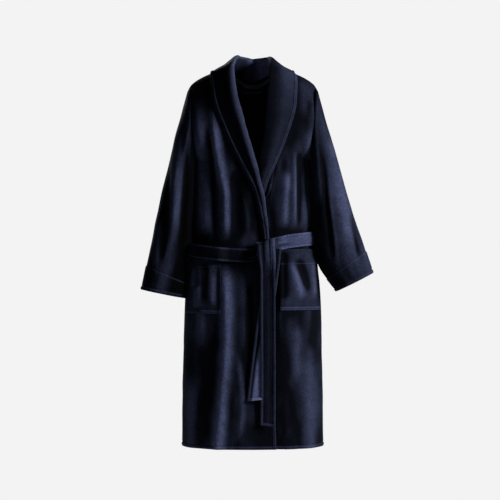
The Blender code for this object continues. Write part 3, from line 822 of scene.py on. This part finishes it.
def cuff(side):
    """The doubled band round the sleeve's end."""
    edge = np.array(RIM) / SLEEVE_LENGTH
    rows = np.concatenate([1 - edge, np.linspace(0.972, 0.906, 14), CUFF_START + edge[::-1]])
    turn, t, points = sleeve_grid(side, rows, CUFF_STAND)
    from_hand = run_from(points, 0, "first")
    from_top = run_from(points, 0, "last")
    relief = sleeve_relief(side, turn, np.minimum(t, 0.9), points)
    # Painted highlight lines along the cuff's hand edge, its stitching and its top edge.
    nap = sleeve_nap(side, turn, relief) + 0.3 * (rim_nap(from_hand) + bump(from_top, 0.003))
    relief += stitched(from_hand, STITCH_INSET) + 0.0005 * smoothstep(from_top / 0.004)
    points = raised(points, relief, closed=True)
    name = f"{SIDE[side]}_cuff"
    piece = cloth(f"{name}_cloth", points, DOUBLED, f"{SIDE[side]}_arm", closed=True, nap=nap)
    lay(piece, name, "trim_plush", flat=(0.34, 0.075), held="stretched",
        rests_on=[f"{SIDE[side]}_sleeve_cloth"])


# ---- Pockets ----

POCKET_INNER_X = {RIGHT: -0.098, LEFT: 0.084}
POCKET_FROM_SIDE = 0.006
POCKET_Z = {RIGHT: (-0.726, -0.541), LEFT: (-0.716, -0.531)}
POCKET_HOLLOW = 0.0085
POCKET_MOUTH = 0.0075
POCKET_PLUSH = 0.0032
POCKET_COLUMNS = on_columns(stations(np.linspace(0, 1, 30), TRIM, TRIM))
POCKET_PAINTED_SHADING = {RIGHT: 0.32, LEFT: 0.27}
BAND_HEIGHT = 0.045
POCKET_FOLDS = {
    RIGHT: [([(-170, -575), (-174, -620), (-176, -650)], 10, 4),
            ([(-163, -640), (-167, -710)], 10, 4, 0.2, 0.1),
            ([(-140, -560), (-146, -700)], 9, -4),
            ([(-118, -600), (-122, -710)], 9, 3)],
    LEFT: [([(108.5, -565), (128, -620), (150, -690)], 12, 5.5),
           ([(132, -552), (152, -610), (172, -670)], 11, -6, 0.3, 0.4),
           ([(184, -550), (192, -690)], 11, 3.5),
           ([(92, -535), (94, -690)], 12, -5, 0.1, 0.2)],
}


def pocket_points(side, z, extra):
    """The pocket's cloth, sewn at its sides and bottom and standing open at the top.

    Returns its points, their distance from the nearer side and their painted light and shade.
    """
    bottom, top = POCKET_Z[side]
    share, offset = POCKET_COLUMNS
    outer = side * (side_x(z) - POCKET_FROM_SIDE)
    x = between(outer, POCKET_INNER_X[side], (share ** 1.4, offset))
    across = (x - outer) / (POCKET_INNER_X[side] - outer)
    up = (z - bottom) / (top - bottom)
    sewn = np.minimum(np.minimum(across, 1 - across), up)
    hollow = POCKET_HOLLOW + (POCKET_MOUTH - POCKET_HOLLOW) * smoothstep((up - 0.6) / 0.25)
    stand = 0.0006 + hollow * smoothstep(sewn / 0.42)
    under = FRONT_RELIEF[side](x, z)
    own = folds(x, z, POCKET_FOLDS[side])
    height = under + stand + extra + own * smoothstep(sewn / 0.1)
    from_side = np.minimum(np.abs(x - x[:, :1]), np.abs(x - x[:, -1:]))
    return off_panel(x, z, front_depth, -1, height), from_side, fold_nap(own, POCKET_PAINTED_SHADING[side], 1.1)


def pocket_cloth(side, name, points, relief, thickness, **look):
    """Cloth on the front with its relief towards the viewer."""
    points = points + relief[..., None] * np.array((0, -1, 0))
    if side == LEFT:
        points, look["nap"] = points[:, ::-1], look["nap"][:, ::-1]
    return cloth(name, points, thickness, **look)


def pocket(side):
    """A patch pocket, without its band."""
    bottom, top = POCKET_Z[side]
    rows = stations(np.linspace(0, 1, 38), TRIM, (0, 0.0015, 0.004))
    z = between(bottom, top, on_rows(rows)) + 0 * POCKET_COLUMNS[0]
    points, from_side, nap = pocket_points(side, z, POCKET_PLUSH)
    from_bottom = z - bottom
    relief = stitched(from_bottom, STITCH_INSET, 0.0014, 0.0015)
    side_seam = stitched(from_side, STITCH_INSET, 0.0003, 0.0005)
    relief += side_seam * smoothstep(from_bottom / STITCH_INSET)
    # Painted highlight along the bottom edge and its stitching, painted shade along the sewn sides.
    nap += 0.55 * rim_nap(from_bottom) - 0.6 * nap * bump(from_side, 0.012)
    name = f"{SIDE[side]}_pocket"
    piece = pocket_cloth(side, f"{name}_cloth", points, relief, POCKET_PLUSH, nap=nap)
    lay(piece, name, "body_plush", flat=(0.14, 0.2), held="hung",
        rests_on=[f"{SIDE[side]}_front_cloth"])


def pocket_band(side):
    """The band along the pocket's open top."""
    top = POCKET_Z[side][1]
    rows = stations(np.linspace(0, 1, 9), (0, 0.0012, 0.003), RIM)
    z = between(top - BAND_HEIGHT, top + 0.0012, on_rows(rows)) + 0 * POCKET_COLUMNS[0]
    points, from_side, nap = pocket_points(side, z, POCKET_PLUSH + STRAP)
    relief = stitched(top - z, STITCH_INSET, 0.0006, 0.001)
    # Painted highlight along the band's lower edge, painted shade towards its ends.
    nap += 0.3 * bump(z - z.min(), 0.0022) - 0.6 * nap * bump(from_side, 0.02)
    pocket_name = f"{SIDE[side]}_pocket"
    piece = pocket_cloth(side, f"{pocket_name}_band_cloth", points, relief, STRAP,
                         rim=THIN_RIM, nap=nap)
    lay(piece, f"{pocket_name}_band", "trim_plush", flat=(0.14, 0.046), held="stretched",
        rests_on=[f"{pocket_name}_cloth"])


# ---- Belt ----

BELT_HEIGHT = 0.042
BELT_STAND = 0.002
BELT_OVER_POCKET = 0.02
BELT_LOOP_WIDTH = 0.012
BELT_LOOP_HEIGHT = 0.066
SIDE_RADIUS = 0.17        # of the waist's curve at the side seams
KNOT_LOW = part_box("belt_knot")[0]
KNOT_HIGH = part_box("belt_knot")[1]
KNOT_MIDDLE = (KNOT_LOW + KNOT_HIGH) / 2
TAIL_WIDTH = 0.0445
TAIL_PLUSH = 0.0045
LONG_TAIL = mm([(40.5, -120, -513), (40.5, -140, -505), (40.5, -149, -518), (42.5, -150, -548),
                (45.5, -147.5, -590), (46, -145, -650), (46.2, -144, -740), (46.8, -145, -890),
                (46.2, -144, -1066)])
SHORT_TAIL = mm([(64, -133, -528), (56, -137, -600), (40, -137.5, -715), (21, -137.5, -860),
                 (6, -138.5, -989)])


def waist_outline(angle, z):
    """The body's outline at height z: angle 0 at the left side, 90 degrees at the back."""
    turn = np.cos(angle)
    across = np.sign(turn) * np.abs(turn) ** (2 / SECTION_POWER)
    depth = np.where(np.sin(angle) > 0, along(BACK_DEPTH, z), along(FRONT_DEPTH, z))
    return np.stack([side_x(z) * across, depth * np.sin(angle)], axis=-1)


def belt_centre(angle):
    turn = np.cos(angle)
    behind = (BELT_CENTRE[0][1] * (1 - turn) + BELT_CENTRE[-1][1] * (1 + turn)) / 2
    ahead = along(BELT_CENTRE, waist_outline(angle, -0.52 + 0 * angle)[..., 0])
    return np.where(np.sin(angle) > 0, behind, ahead)


def belt_point(angle, height, stand):
    """Points this far off the body along the belt, and this far above its centre line."""
    z = belt_centre(angle) + height
    widest = belt_centre(angle) - BELT_HEIGHT / 2
    base = waist_outline(angle, widest)
    ahead = waist_outline(angle + 0.01, widest) - waist_outline(angle - 0.01, widest)
    outward = np.stack([ahead[..., 1], -ahead[..., 0]], axis=-1)
    outward /= np.linalg.norm(outward, axis=-1, keepdims=True)
    sewn = smoothstep(0.35 - np.sin(angle) / 0.25)
    hollow = smoothstep((base[..., 0] + 0.185) / 0.03)
    over_pocket = smoothstep((-0.07 - base[..., 0]) / 0.03) * (sewn + hollow) / 2
    base = base + outward * (stand + BELT_OVER_POCKET * over_pocket)[..., None]
    return xyz(base[..., 0], base[..., 1], z)


def belt_waist():
    """The belt's turn round the waist. Both its ends go in behind the knot."""
    def end_angle(x):
        return math.acos((x / float(side_x(-0.52))) ** (SECTION_POWER / 2))

    start = -end_angle(KNOT_HIGH.x - 0.012)
    end = 2 * math.pi - end_angle(KNOT_LOW.x + 0.012)
    rows = stations(np.linspace(0, 1, 8), RIM, RIM)
    height = between(-BELT_HEIGHT / 2, BELT_HEIGHT / 2, rows)
    angle, height = np.meshgrid(np.linspace(start, end, 330), height)
    crown = 0.0018 * (1 - (2 * height / BELT_HEIGHT) ** 2)
    points = belt_point(angle, height, BELT_STAND + DOUBLED + crown)
    length = run_from(points, 1, "first")
    at_knot = bump(length - 0.01, 0.05) + bump(length.max() - length - 0.01, 0.05)
    rim = BELT_HEIGHT / 2 - np.abs(height)
    relief = stitched(rim, RIM_INSET, 0.0009, 0.0012)
    relief += 0.001 * lattice_noise(length / 0.02, height / 0.03 + 4, 81)
    gathers = lattice_noise(length / 0.03 + 3, height / 0.008 + 11, 82)
    relief += 0.0036 * gathers * at_knot
    # Painted light where the belt turns to the light and at the back, painted shade elsewhere, with
    # painted highlights on its stitched rims and on the gathers by the knot.
    lit = smoothstep((points[..., 0] - 0.04) / 0.03) * smoothstep((0.02 - points[..., 1]) / 0.02)
    behind = 0.35 * smoothstep(points[..., 1] / 0.03)
    nap = 0.06 + 0.86 * lit + behind + 0.34 * rim_nap(rim, RIM_INSET)
    nap += 0.6 * gathers * at_knot * (0.3 + lit)
    nap = np.clip(nap, DARKEST_PAINTED_SHADE, BRIGHTEST_PAINTED_LIGHT)
    piece = cloth("belt_waist_cloth", raised(points, relief), DOUBLED, rim=THICK_RIM, nap=nap)
    lay(piece, "belt_waist", "belt_plush", flat=(BELT_HEIGHT, 1.02), held="stretched",
        rests_on=["right_front_cloth", "left_front_cloth", "back_panel_cloth"])


def knot_ring(turn, x, half_depth, half_height, centre_y, slant):
    """Points of a squarish ring round the knot's left-right axis."""
    def squared(value):
        return np.sign(value) * np.abs(value) ** 0.8

    y = centre_y - half_depth * squared(np.cos(turn))
    z = KNOT_MIDDLE.z + slant * (x - KNOT_MIDDLE.x) + half_height * squared(np.sin(turn))
    return xyz(x, y, z)


def knot_wrap():
    """The upright turn of the belt round the knot, under the long tail."""
    turn = np.linspace(0, 2 * np.pi, 91)
    rows = stations(np.linspace(0, 1, 14), RIM, RIM)
    x = between(KNOT_HIGH.x - 0.0085, KNOT_LOW.x + 0.002, rows)
    turn, x = np.meshgrid(turn, x)
    rim = np.minimum(x - x.min(), x.max() - x)
    top = -0.5215 + 0.55 * np.minimum(x - 0.019, 0.036)
    bottom = -0.556
    half_height = (top - bottom) / 2
    points = knot_ring(turn, x, 0.014, half_height, -0.129, 0)
    points[..., 2] += (top + bottom) / 2 - KNOT_MIDDLE.z
    relief = stitched(rim, RIM_INSET, 0.001, 0.0013)
    # Painted shade over the wrap, with painted highlight lines along its stitched rims.
    nap = 0.16 + 0.4 * rim_nap(rim, RIM_INSET)
    piece = cloth("belt_knot_wrap", raised(points, relief, closed=True), DOUBLED,
                  closed=True, rim=THICK_RIM, nap=nap)
    lay(piece, "belt_knot", "belt_plush", flat=(0.048, 0.115), held="folded",
        rests_on=["belt_knot_core"])


def knot_core():
    """The belt's two bunched ends inside the wrap."""
    turn = np.linspace(0, 2 * np.pi, 73)
    turn, x = np.meshgrid(turn, np.linspace(KNOT_HIGH.x + 0.004, KNOT_LOW.x - 0.004, 34))
    ends = np.abs(x - KNOT_MIDDLE.x) / (KNOT_HIGH.x - KNOT_MIDDLE.x)
    half_depth = 0.011 - 0.003 * ends ** 2
    half_height = 0.0165 + 0.004 * ends ** 2
    points = knot_ring(turn, x, half_depth, half_height, -0.1235, 0.2)
    relief = 0.0024 * lattice_noise(turn * 1.9 + 3, x / 0.03 + 2, 95)
    piece = cloth("belt_knot_core", raised(points, relief, closed=True), TAIL_PLUSH,
                  closed=True, rim=THICK_RIM, nap=0.4)
    lay(piece, None, "belt_plush", flat=(0.066, 0.095), held="folded",
        rests_on=["belt_waist_cloth"])


def belt_tail(name, route, curl, slant, level, seed):
    """A free end of the belt hanging from under the knot, with stitched borders."""
    fine = through(route, np.linspace(0, 1, 1200))
    run = np.concatenate([[0], np.cumsum(np.linalg.norm(np.diff(fine, axis=0), axis=1))])
    length = run[-1]
    down = between(0.0, length, stations(np.linspace(0, 1, 110), (0,), RIM))
    centre = np.stack([np.interp(down, run, fine[:, k]) for k in range(3)], axis=-1)[::-1]
    across = between(-TAIL_WIDTH / 2, TAIL_WIDTH / 2, stations(np.linspace(0, 1, 10), RIM, RIM))
    points = np.repeat(centre[:, None, :], len(across), axis=1)
    from_end = (length - down[::-1])[:, None] + 0 * across
    across = across[None, :] + 0 * from_end
    points = points + curl(across, from_end, points[..., 2])
    points[..., 0] += across
    points[..., 2] += slant * across * smoothstep(1 - from_end / 0.05)
    rim = np.minimum(TAIL_WIDTH / 2 - np.abs(across), from_end)
    relief = stitched(rim, RIM_INSET, 0.0011, 0.0014)
    relief += 0.001 * lattice_noise(across / 0.02 + 3, from_end / 0.05, seed)
    # Painted light and shade along the tail, with painted highlight lines along its stitched
    # borders.
    nap = level(points) + 0.42 * rim_nap(rim, RIM_INSET)
    piece = cloth(f"{name}_cloth", raised(points, relief), TAIL_PLUSH, body=None,
                  offset=0, rim=THICK_RIM, nap=nap)
    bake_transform(piece)
    lay(piece, name, "belt_plush", flat=(TAIL_WIDTH, length), held="hung",
        rests_on=["belt_knot_wrap"])


def long_tail_shape(across, from_end, z):
    """Over the knot it is wider, slants up to the left side and is creased lengthwise."""
    on_knot = smoothstep((z + 0.6) / 0.06)
    creases = -0.003 * bump(across + 0.009, 0.003) - 0.0034 * bump(across - 0.0075, 0.0028)
    turned = -0.15 * across * (1 - on_knot) - 0.0012 * (across / 0.02) ** 2
    sway = 0.001 * np.sin(from_end / 0.085) * (1 - on_knot)
    rounded = 0.007 * np.abs(across / 0.0215) ** 3 * on_knot
    rise = 0.55 * np.minimum(across, 0.012) * smoothstep((z + 0.565) / 0.045)
    return xyz(0.14 * across * on_knot, turned + sway + rounded - creases * on_knot, rise)


def short_tail_shape(across, from_end, z):
    """It twists a little on its way down and lifts at its end."""
    twist = -0.05 * across * smoothstep(1 - from_end / 0.3)
    lifted = -0.004 * smoothstep(1 - from_end / 0.012)
    return xyz(0 * across, twist + lifted, 0 * across)


def long_tail_nap(points):
    """Painted shade, with painted highlights on the creases over the knot and a faint painted
    highlight streak down the middle.
    """
    across = points[..., 0] - 0.044
    on_knot = smoothstep((points[..., 2] + 0.62) / 0.08)
    creased = 0.22 * bump(across, 0.006) + 0.25 * bump(across - 0.016, 0.005)
    streak = 0.1 * bump(across - 0.004, 0.0035) * (1 - on_knot)
    return 0.11 + streak + on_knot * (0.14 + creased - 0.2 * bump(across + 0.01, 0.004))


def short_tail_nap(points):
    """Painted shadow behind the long tail, painted light where it comes out beside it."""
    lower = smoothstep((-0.7 - points[..., 2]) / 0.06)
    middle = through(SHORT_TAIL, (points[..., 2] - SHORT_TAIL[0][2])
                     / (SHORT_TAIL[-1][2] - SHORT_TAIL[0][2]))[..., 0]
    outer = smoothstep((points[..., 0] - middle + 0.012) / 0.008)
    return 0.06 + lower * (0.03 + 1.9 * outer)


def belt_loop(side):
    """A narrow strap sewn to the side seam above and below the belt."""
    middle = math.radians(14) if side == LEFT else math.radians(166)
    sewn = 0.002
    stand = BELT_STAND + DOUBLED + 0.0045
    route = [(0.001, 0.5), (0.3, 0.475), (0.95, 0.42), (1, 0.2), (1, 0), (1, -0.2),
             (0.95, -0.42), (0.3, -0.475), (0.001, -0.5)]
    up = through(route, np.linspace(1, 0, 40))
    width = np.linspace(-0.5, 0.5, 9)
    turn, out = np.meshgrid(width * BELT_LOOP_WIDTH / SIDE_RADIUS, up[:, 0])
    turn, height = np.meshgrid(turn[0], up[:, 1] * BELT_LOOP_HEIGHT)
    points = belt_point(middle + turn, height, sewn + (stand - sewn) * out)
    ribs = 0.0004 * np.abs(np.sin(width * 2 * np.pi))
    name = f"{SIDE[side]}_belt_loop"
    piece = cloth(f"{name}_cloth", raised(points, ribs + 0 * height), STRAP, rim=THIN_RIM)
    lay(piece, name, "belt_plush", flat=(0.012, 0.075), held="stretched",
        rests_on=["belt_waist_cloth"])


# ---- Back neck ----

HANGER_TOP = Vector((0, 0.0755, -0.006))
HANGER_HALF_WIDTH = 0.03
HANGER_DROP = 0.026
HANGER_CORNER = 0.007
HANGER_TAPE = 0.01
HANGER_RIM = 0.0005
NECK_TAPE = 0.012
TAPE_RIM = 0.0004


def neck_tape():
    """The tape that covers the neck seam on the inside of the back."""
    half = NECK_HALF_WIDTH - 0.02
    across, down = np.meshgrid(np.linspace(half, -half, 60), np.linspace(NECK_TAPE, 0, 9))
    z = back_neck_z(across) - 0.002 - down
    ribs = 0.0002 * np.cos(down / NECK_TAPE * 8 * np.pi)
    points = off_panel(across, z, back_depth, 1, -PLUSH - 0.0028 + ribs)
    piece = cloth("neck_tape_woven", points, TAPE, rim=TAPE_RIM)
    lay(piece, "neck_tape", "woven_tape", flat=(0.012, 0.12), held="stretched",
        rests_on=["back_panel_cloth"])


def hanger_loop():
    """A U of narrow tape hanging inside the back neck. Its flat bottom rests on a hook."""
    half, drop, corner = HANGER_HALF_WIDTH, HANGER_DROP, HANGER_CORNER
    turn = np.linspace(0, np.pi / 2, 9)
    bend_x, bend_z = half - corner + corner * np.cos(turn), -drop + corner - corner * np.sin(turn)
    leg = np.linspace(0, corner - drop, 8)[:-1]
    x = np.concatenate([half + 0 * leg, bend_x, -bend_x[::-1], -half + 0 * leg])[::-1]
    z = np.concatenate([leg, bend_z, bend_z[::-1], leg[::-1]])[::-1]
    across, wide = np.meshgrid(np.arange(len(x)), np.linspace(-0.5, 0.5, 7))
    y = wide * HANGER_TAPE
    points = xyz(x[across], HANGER_TOP.y + y, HANGER_TOP.z + z[across])
    piece = cloth("hanger_loop_woven", points, STRAP, "loop", offset=0, rim=HANGER_RIM)
    lay(piece, "hanger_loop", "woven_tape", flat=(HANGER_TAPE, 0.104), held="hung",
        rests_on=["neck_tape_woven"])


# ---- Materials ----

def feed(tree, node, inputs):
    """Set each named input to a number or colour, or link it to another node's output."""
    for socket, value in inputs.items():
        if isinstance(value, bpy.types.NodeSocket):
            tree.links.new(value, node.inputs[socket])
        else:
            node.inputs[socket].default_value = value


def add(tree, kind, inputs, **settings):
    """A new shader node."""
    node = tree.nodes.new(f"ShaderNode{kind}")
    for setting, value in settings.items():
        setattr(node, setting, value)
    feed(tree, node, inputs)
    return node


def ramp(tree, value, dark, light, low=0.0, high=1.0):
    """Colour from dark, at the low value, to light, at the high one."""
    node = add(tree, "ValToRGB", {"Fac": value})
    first, last = node.color_ramp.elements
    first.position = low
    first.color = (*dark, 1)
    last.position = high
    last.color = (*light, 1)
    return node.outputs["Color"]


def surface(name):
    """A new material, as its name, node tree, shader and the object's own coordinates."""
    made = bpy.data.materials.new(name)
    made.use_nodes = True
    tree = made.node_tree
    return made, tree, tree.nodes["Principled BSDF"], add(tree, "TexCoord", {}).outputs["Object"]


def texture(tree, shader, value, low, high, height, strength, distance):
    """Roughness from low to high with the value, and a bump of the height."""
    rough = add(tree, "MapRange", {"Value": value, "To Min": low, "To Max": high})
    bumps = add(tree, "Bump", {"Height": height, "Strength": strength, "Distance": distance})
    feed(tree, shader, {"Roughness": rough.outputs["Result"], "Normal": bumps.outputs["Normal"]})


def plush(name, dark, light):
    """Brushed coral fleece: clumped pile with a cool sheen, darker between the clumps."""
    made, tree, shader, place = surface(name)

    def noise(scale, detail):
        return add(tree, "TexNoise", {"Vector": place, "Scale": scale, "Detail": detail,
                                      "Roughness": 0.55}).outputs["Fac"]

    def sum_of(*terms):
        total = 0.0
        for value, weight in terms:
            inputs = {0: value, 1: weight, 2: total}
            total = add(tree, "Math", inputs, operation="MULTIPLY_ADD").outputs[0]
        return total

    fibres, clumps, patches = noise(620, 3), noise(170, 2), noise(30, 3)
    mottle = sum_of((fibres, 0.35), (clumps, 0.4), (patches, 0.25))
    colour = ramp(tree, mottle, dark, light, 0.36, 0.66)
    # The mottled colour is scaled by the painted light and shade stored on each mesh.
    nap = add(tree, "Attribute", {}, attribute_name="nap").outputs["Fac"]
    colour_with_painted_shading = add(tree, "VectorMath", {0: colour, "Scale": nap}, operation="SCALE")
    feed(tree, shader, {"Base Color": colour_with_painted_shading.outputs["Vector"], "Sheen Weight": 0.035,
                        "Sheen Roughness": 0.45, "Sheen Tint": (0.5, 0.6, 0.95, 1),
                        "Specular IOR Level": 0.02})
    pile = sum_of((fibres, 0.35), (clumps, 0.65))
    texture(tree, shader, clumps, 0.78, 1.0, pile, 0.9, 0.0022)
    return made


def woven(name, dark, light):
    """Narrow cotton tape with a diagonal rib."""
    made, tree, shader, place = surface(name)
    ribs = add(tree, "TexWave", {"Vector": place, "Scale": 160, "Distortion": 1.5},
               wave_type="BANDS", bands_direction="DIAGONAL").outputs["Fac"]
    feed(tree, shader, {"Base Color": ramp(tree, ribs, dark, light), "Sheen Weight": 0.15})
    texture(tree, shader, ribs, 0.62, 0.82, ribs, 0.5, 0.0004)
    return made


# ---- Studio ----

FLOOR = -1.56
FLOOR_RADIUS = 1.45
AIM = Vector((0, 0, -0.5))
CAMERA_PLACE = (-0.0085, -5.0, -0.5316)
LENS = 115.0


def studio_floor():
    turn = np.linspace(0, 2 * np.pi, 96, endpoint=False)
    rim = xyz(FLOOR_RADIUS * np.cos(turn), FLOOR_RADIUS * np.sin(turn), FLOOR + 0 * turn)
    mesh = bpy.data.meshes.new("floor")
    mesh.from_pydata(rim.tolist(), [], [list(range(len(turn)))])
    paint = bpy.data.materials.new("pale_floor")
    paint.use_nodes = True
    shader = paint.node_tree.nodes["Principled BSDF"]
    feed(paint.node_tree, shader, {"Base Color": (0.86, 0.86, 0.87, 1), "Roughness": 0.8})
    mesh.materials.append(paint)
    floor = bpy.data.objects.new("floor", mesh)
    bpy.context.scene.collection.objects.link(floor)


def area_light(name, place, size, power):
    light = bpy.data.lights.new(name, "AREA")
    light.size = size
    light.energy = power
    made = bpy.data.objects.new(name, light)
    made.location = place
    made.rotation_euler = (AIM - Vector(place)).to_track_quat("-Z", "Y").to_euler()
    bpy.context.scene.collection.objects.link(made)


def backdrop(seen, ambient):
    """A pale background to the camera, which lights the robe only dimly."""
    world = bpy.data.worlds.new("studio")
    world.use_nodes = True
    bpy.context.scene.world = world
    nodes, links = world.node_tree.nodes, world.node_tree.links
    soft = nodes["Background"]
    soft.inputs["Color"].default_value = (1, 1, 1, 1)
    soft.inputs["Strength"].default_value = ambient
    bright = nodes.new("ShaderNodeBackground")
    bright.inputs["Color"].default_value = (seen, seen, seen, 1)
    rays = nodes.new("ShaderNodeLightPath")
    mix = nodes.new("ShaderNodeMixShader")
    links.new(rays.outputs["Is Camera Ray"], mix.inputs[0])
    links.new(soft.outputs[0], mix.inputs[1])
    links.new(bright.outputs[0], mix.inputs[2])
    links.new(mix.outputs[0], nodes["World Output"].inputs[0])


def camera():
    lens = bpy.data.cameras.new("camera")
    lens.sensor_width = 36
    lens.lens = LENS
    made = bpy.data.objects.new("camera", lens)
    made.location = CAMERA_PLACE
    made.rotation_euler = (math.pi / 2, 0, 0)
    bpy.context.scene.collection.objects.link(made)
    bpy.context.scene.camera = made


NAVY = (0.019, 0.023, 0.047), (0.053, 0.063, 0.124)
BELT_NAVY = (0.018, 0.021, 0.044), (0.05, 0.06, 0.118)
# The tape's colours are painted lighter, as painted light where it lies in the shadow inside the
# neck.
TAPE_NAVY_PAINTED_LIGHTER = (0.04, 0.047, 0.09), (0.085, 0.1, 0.18)
PAINT = {slot: plush(slot, *NAVY) for slot in ("body_plush", "collar_plush", "trim_plush")}
PAINT["belt_plush"] = plush("belt_plush", *BELT_NAVY)
PAINT["woven_tape"] = woven("woven_tape", *TAPE_NAVY_PAINTED_LIGHTER)

back_panel()
front(RIGHT)
front(LEFT)
for each_side in (RIGHT, LEFT):
    facing(each_side)
    collar(each_side)
    sleeve(each_side)
    cuff(each_side)
    pocket(each_side)
    pocket_band(each_side)
    belt_loop(each_side)
belt_waist()
knot_wrap()
knot_core()
belt_tail("belt_tail_long", LONG_TAIL, long_tail_shape, -0.1,
          long_tail_nap, 101)
belt_tail("belt_tail_short", SHORT_TAIL, short_tail_shape, 0.12,
          short_tail_nap, 105)
neck_tape()
hanger_loop()

studio_floor()
area_light("key", (2.8, -1.5, 0.6), size=0.9, power=215)
area_light("fill", (-2.6, -2.4, 0.2), size=1.6, power=2)
area_light("back_fill", (-1.2, 3.0, 1.2), size=1.6, power=110)
backdrop(seen=0.896, ambient=0.045)
camera()
bpy.context.scene.view_settings.view_transform = "Standard"
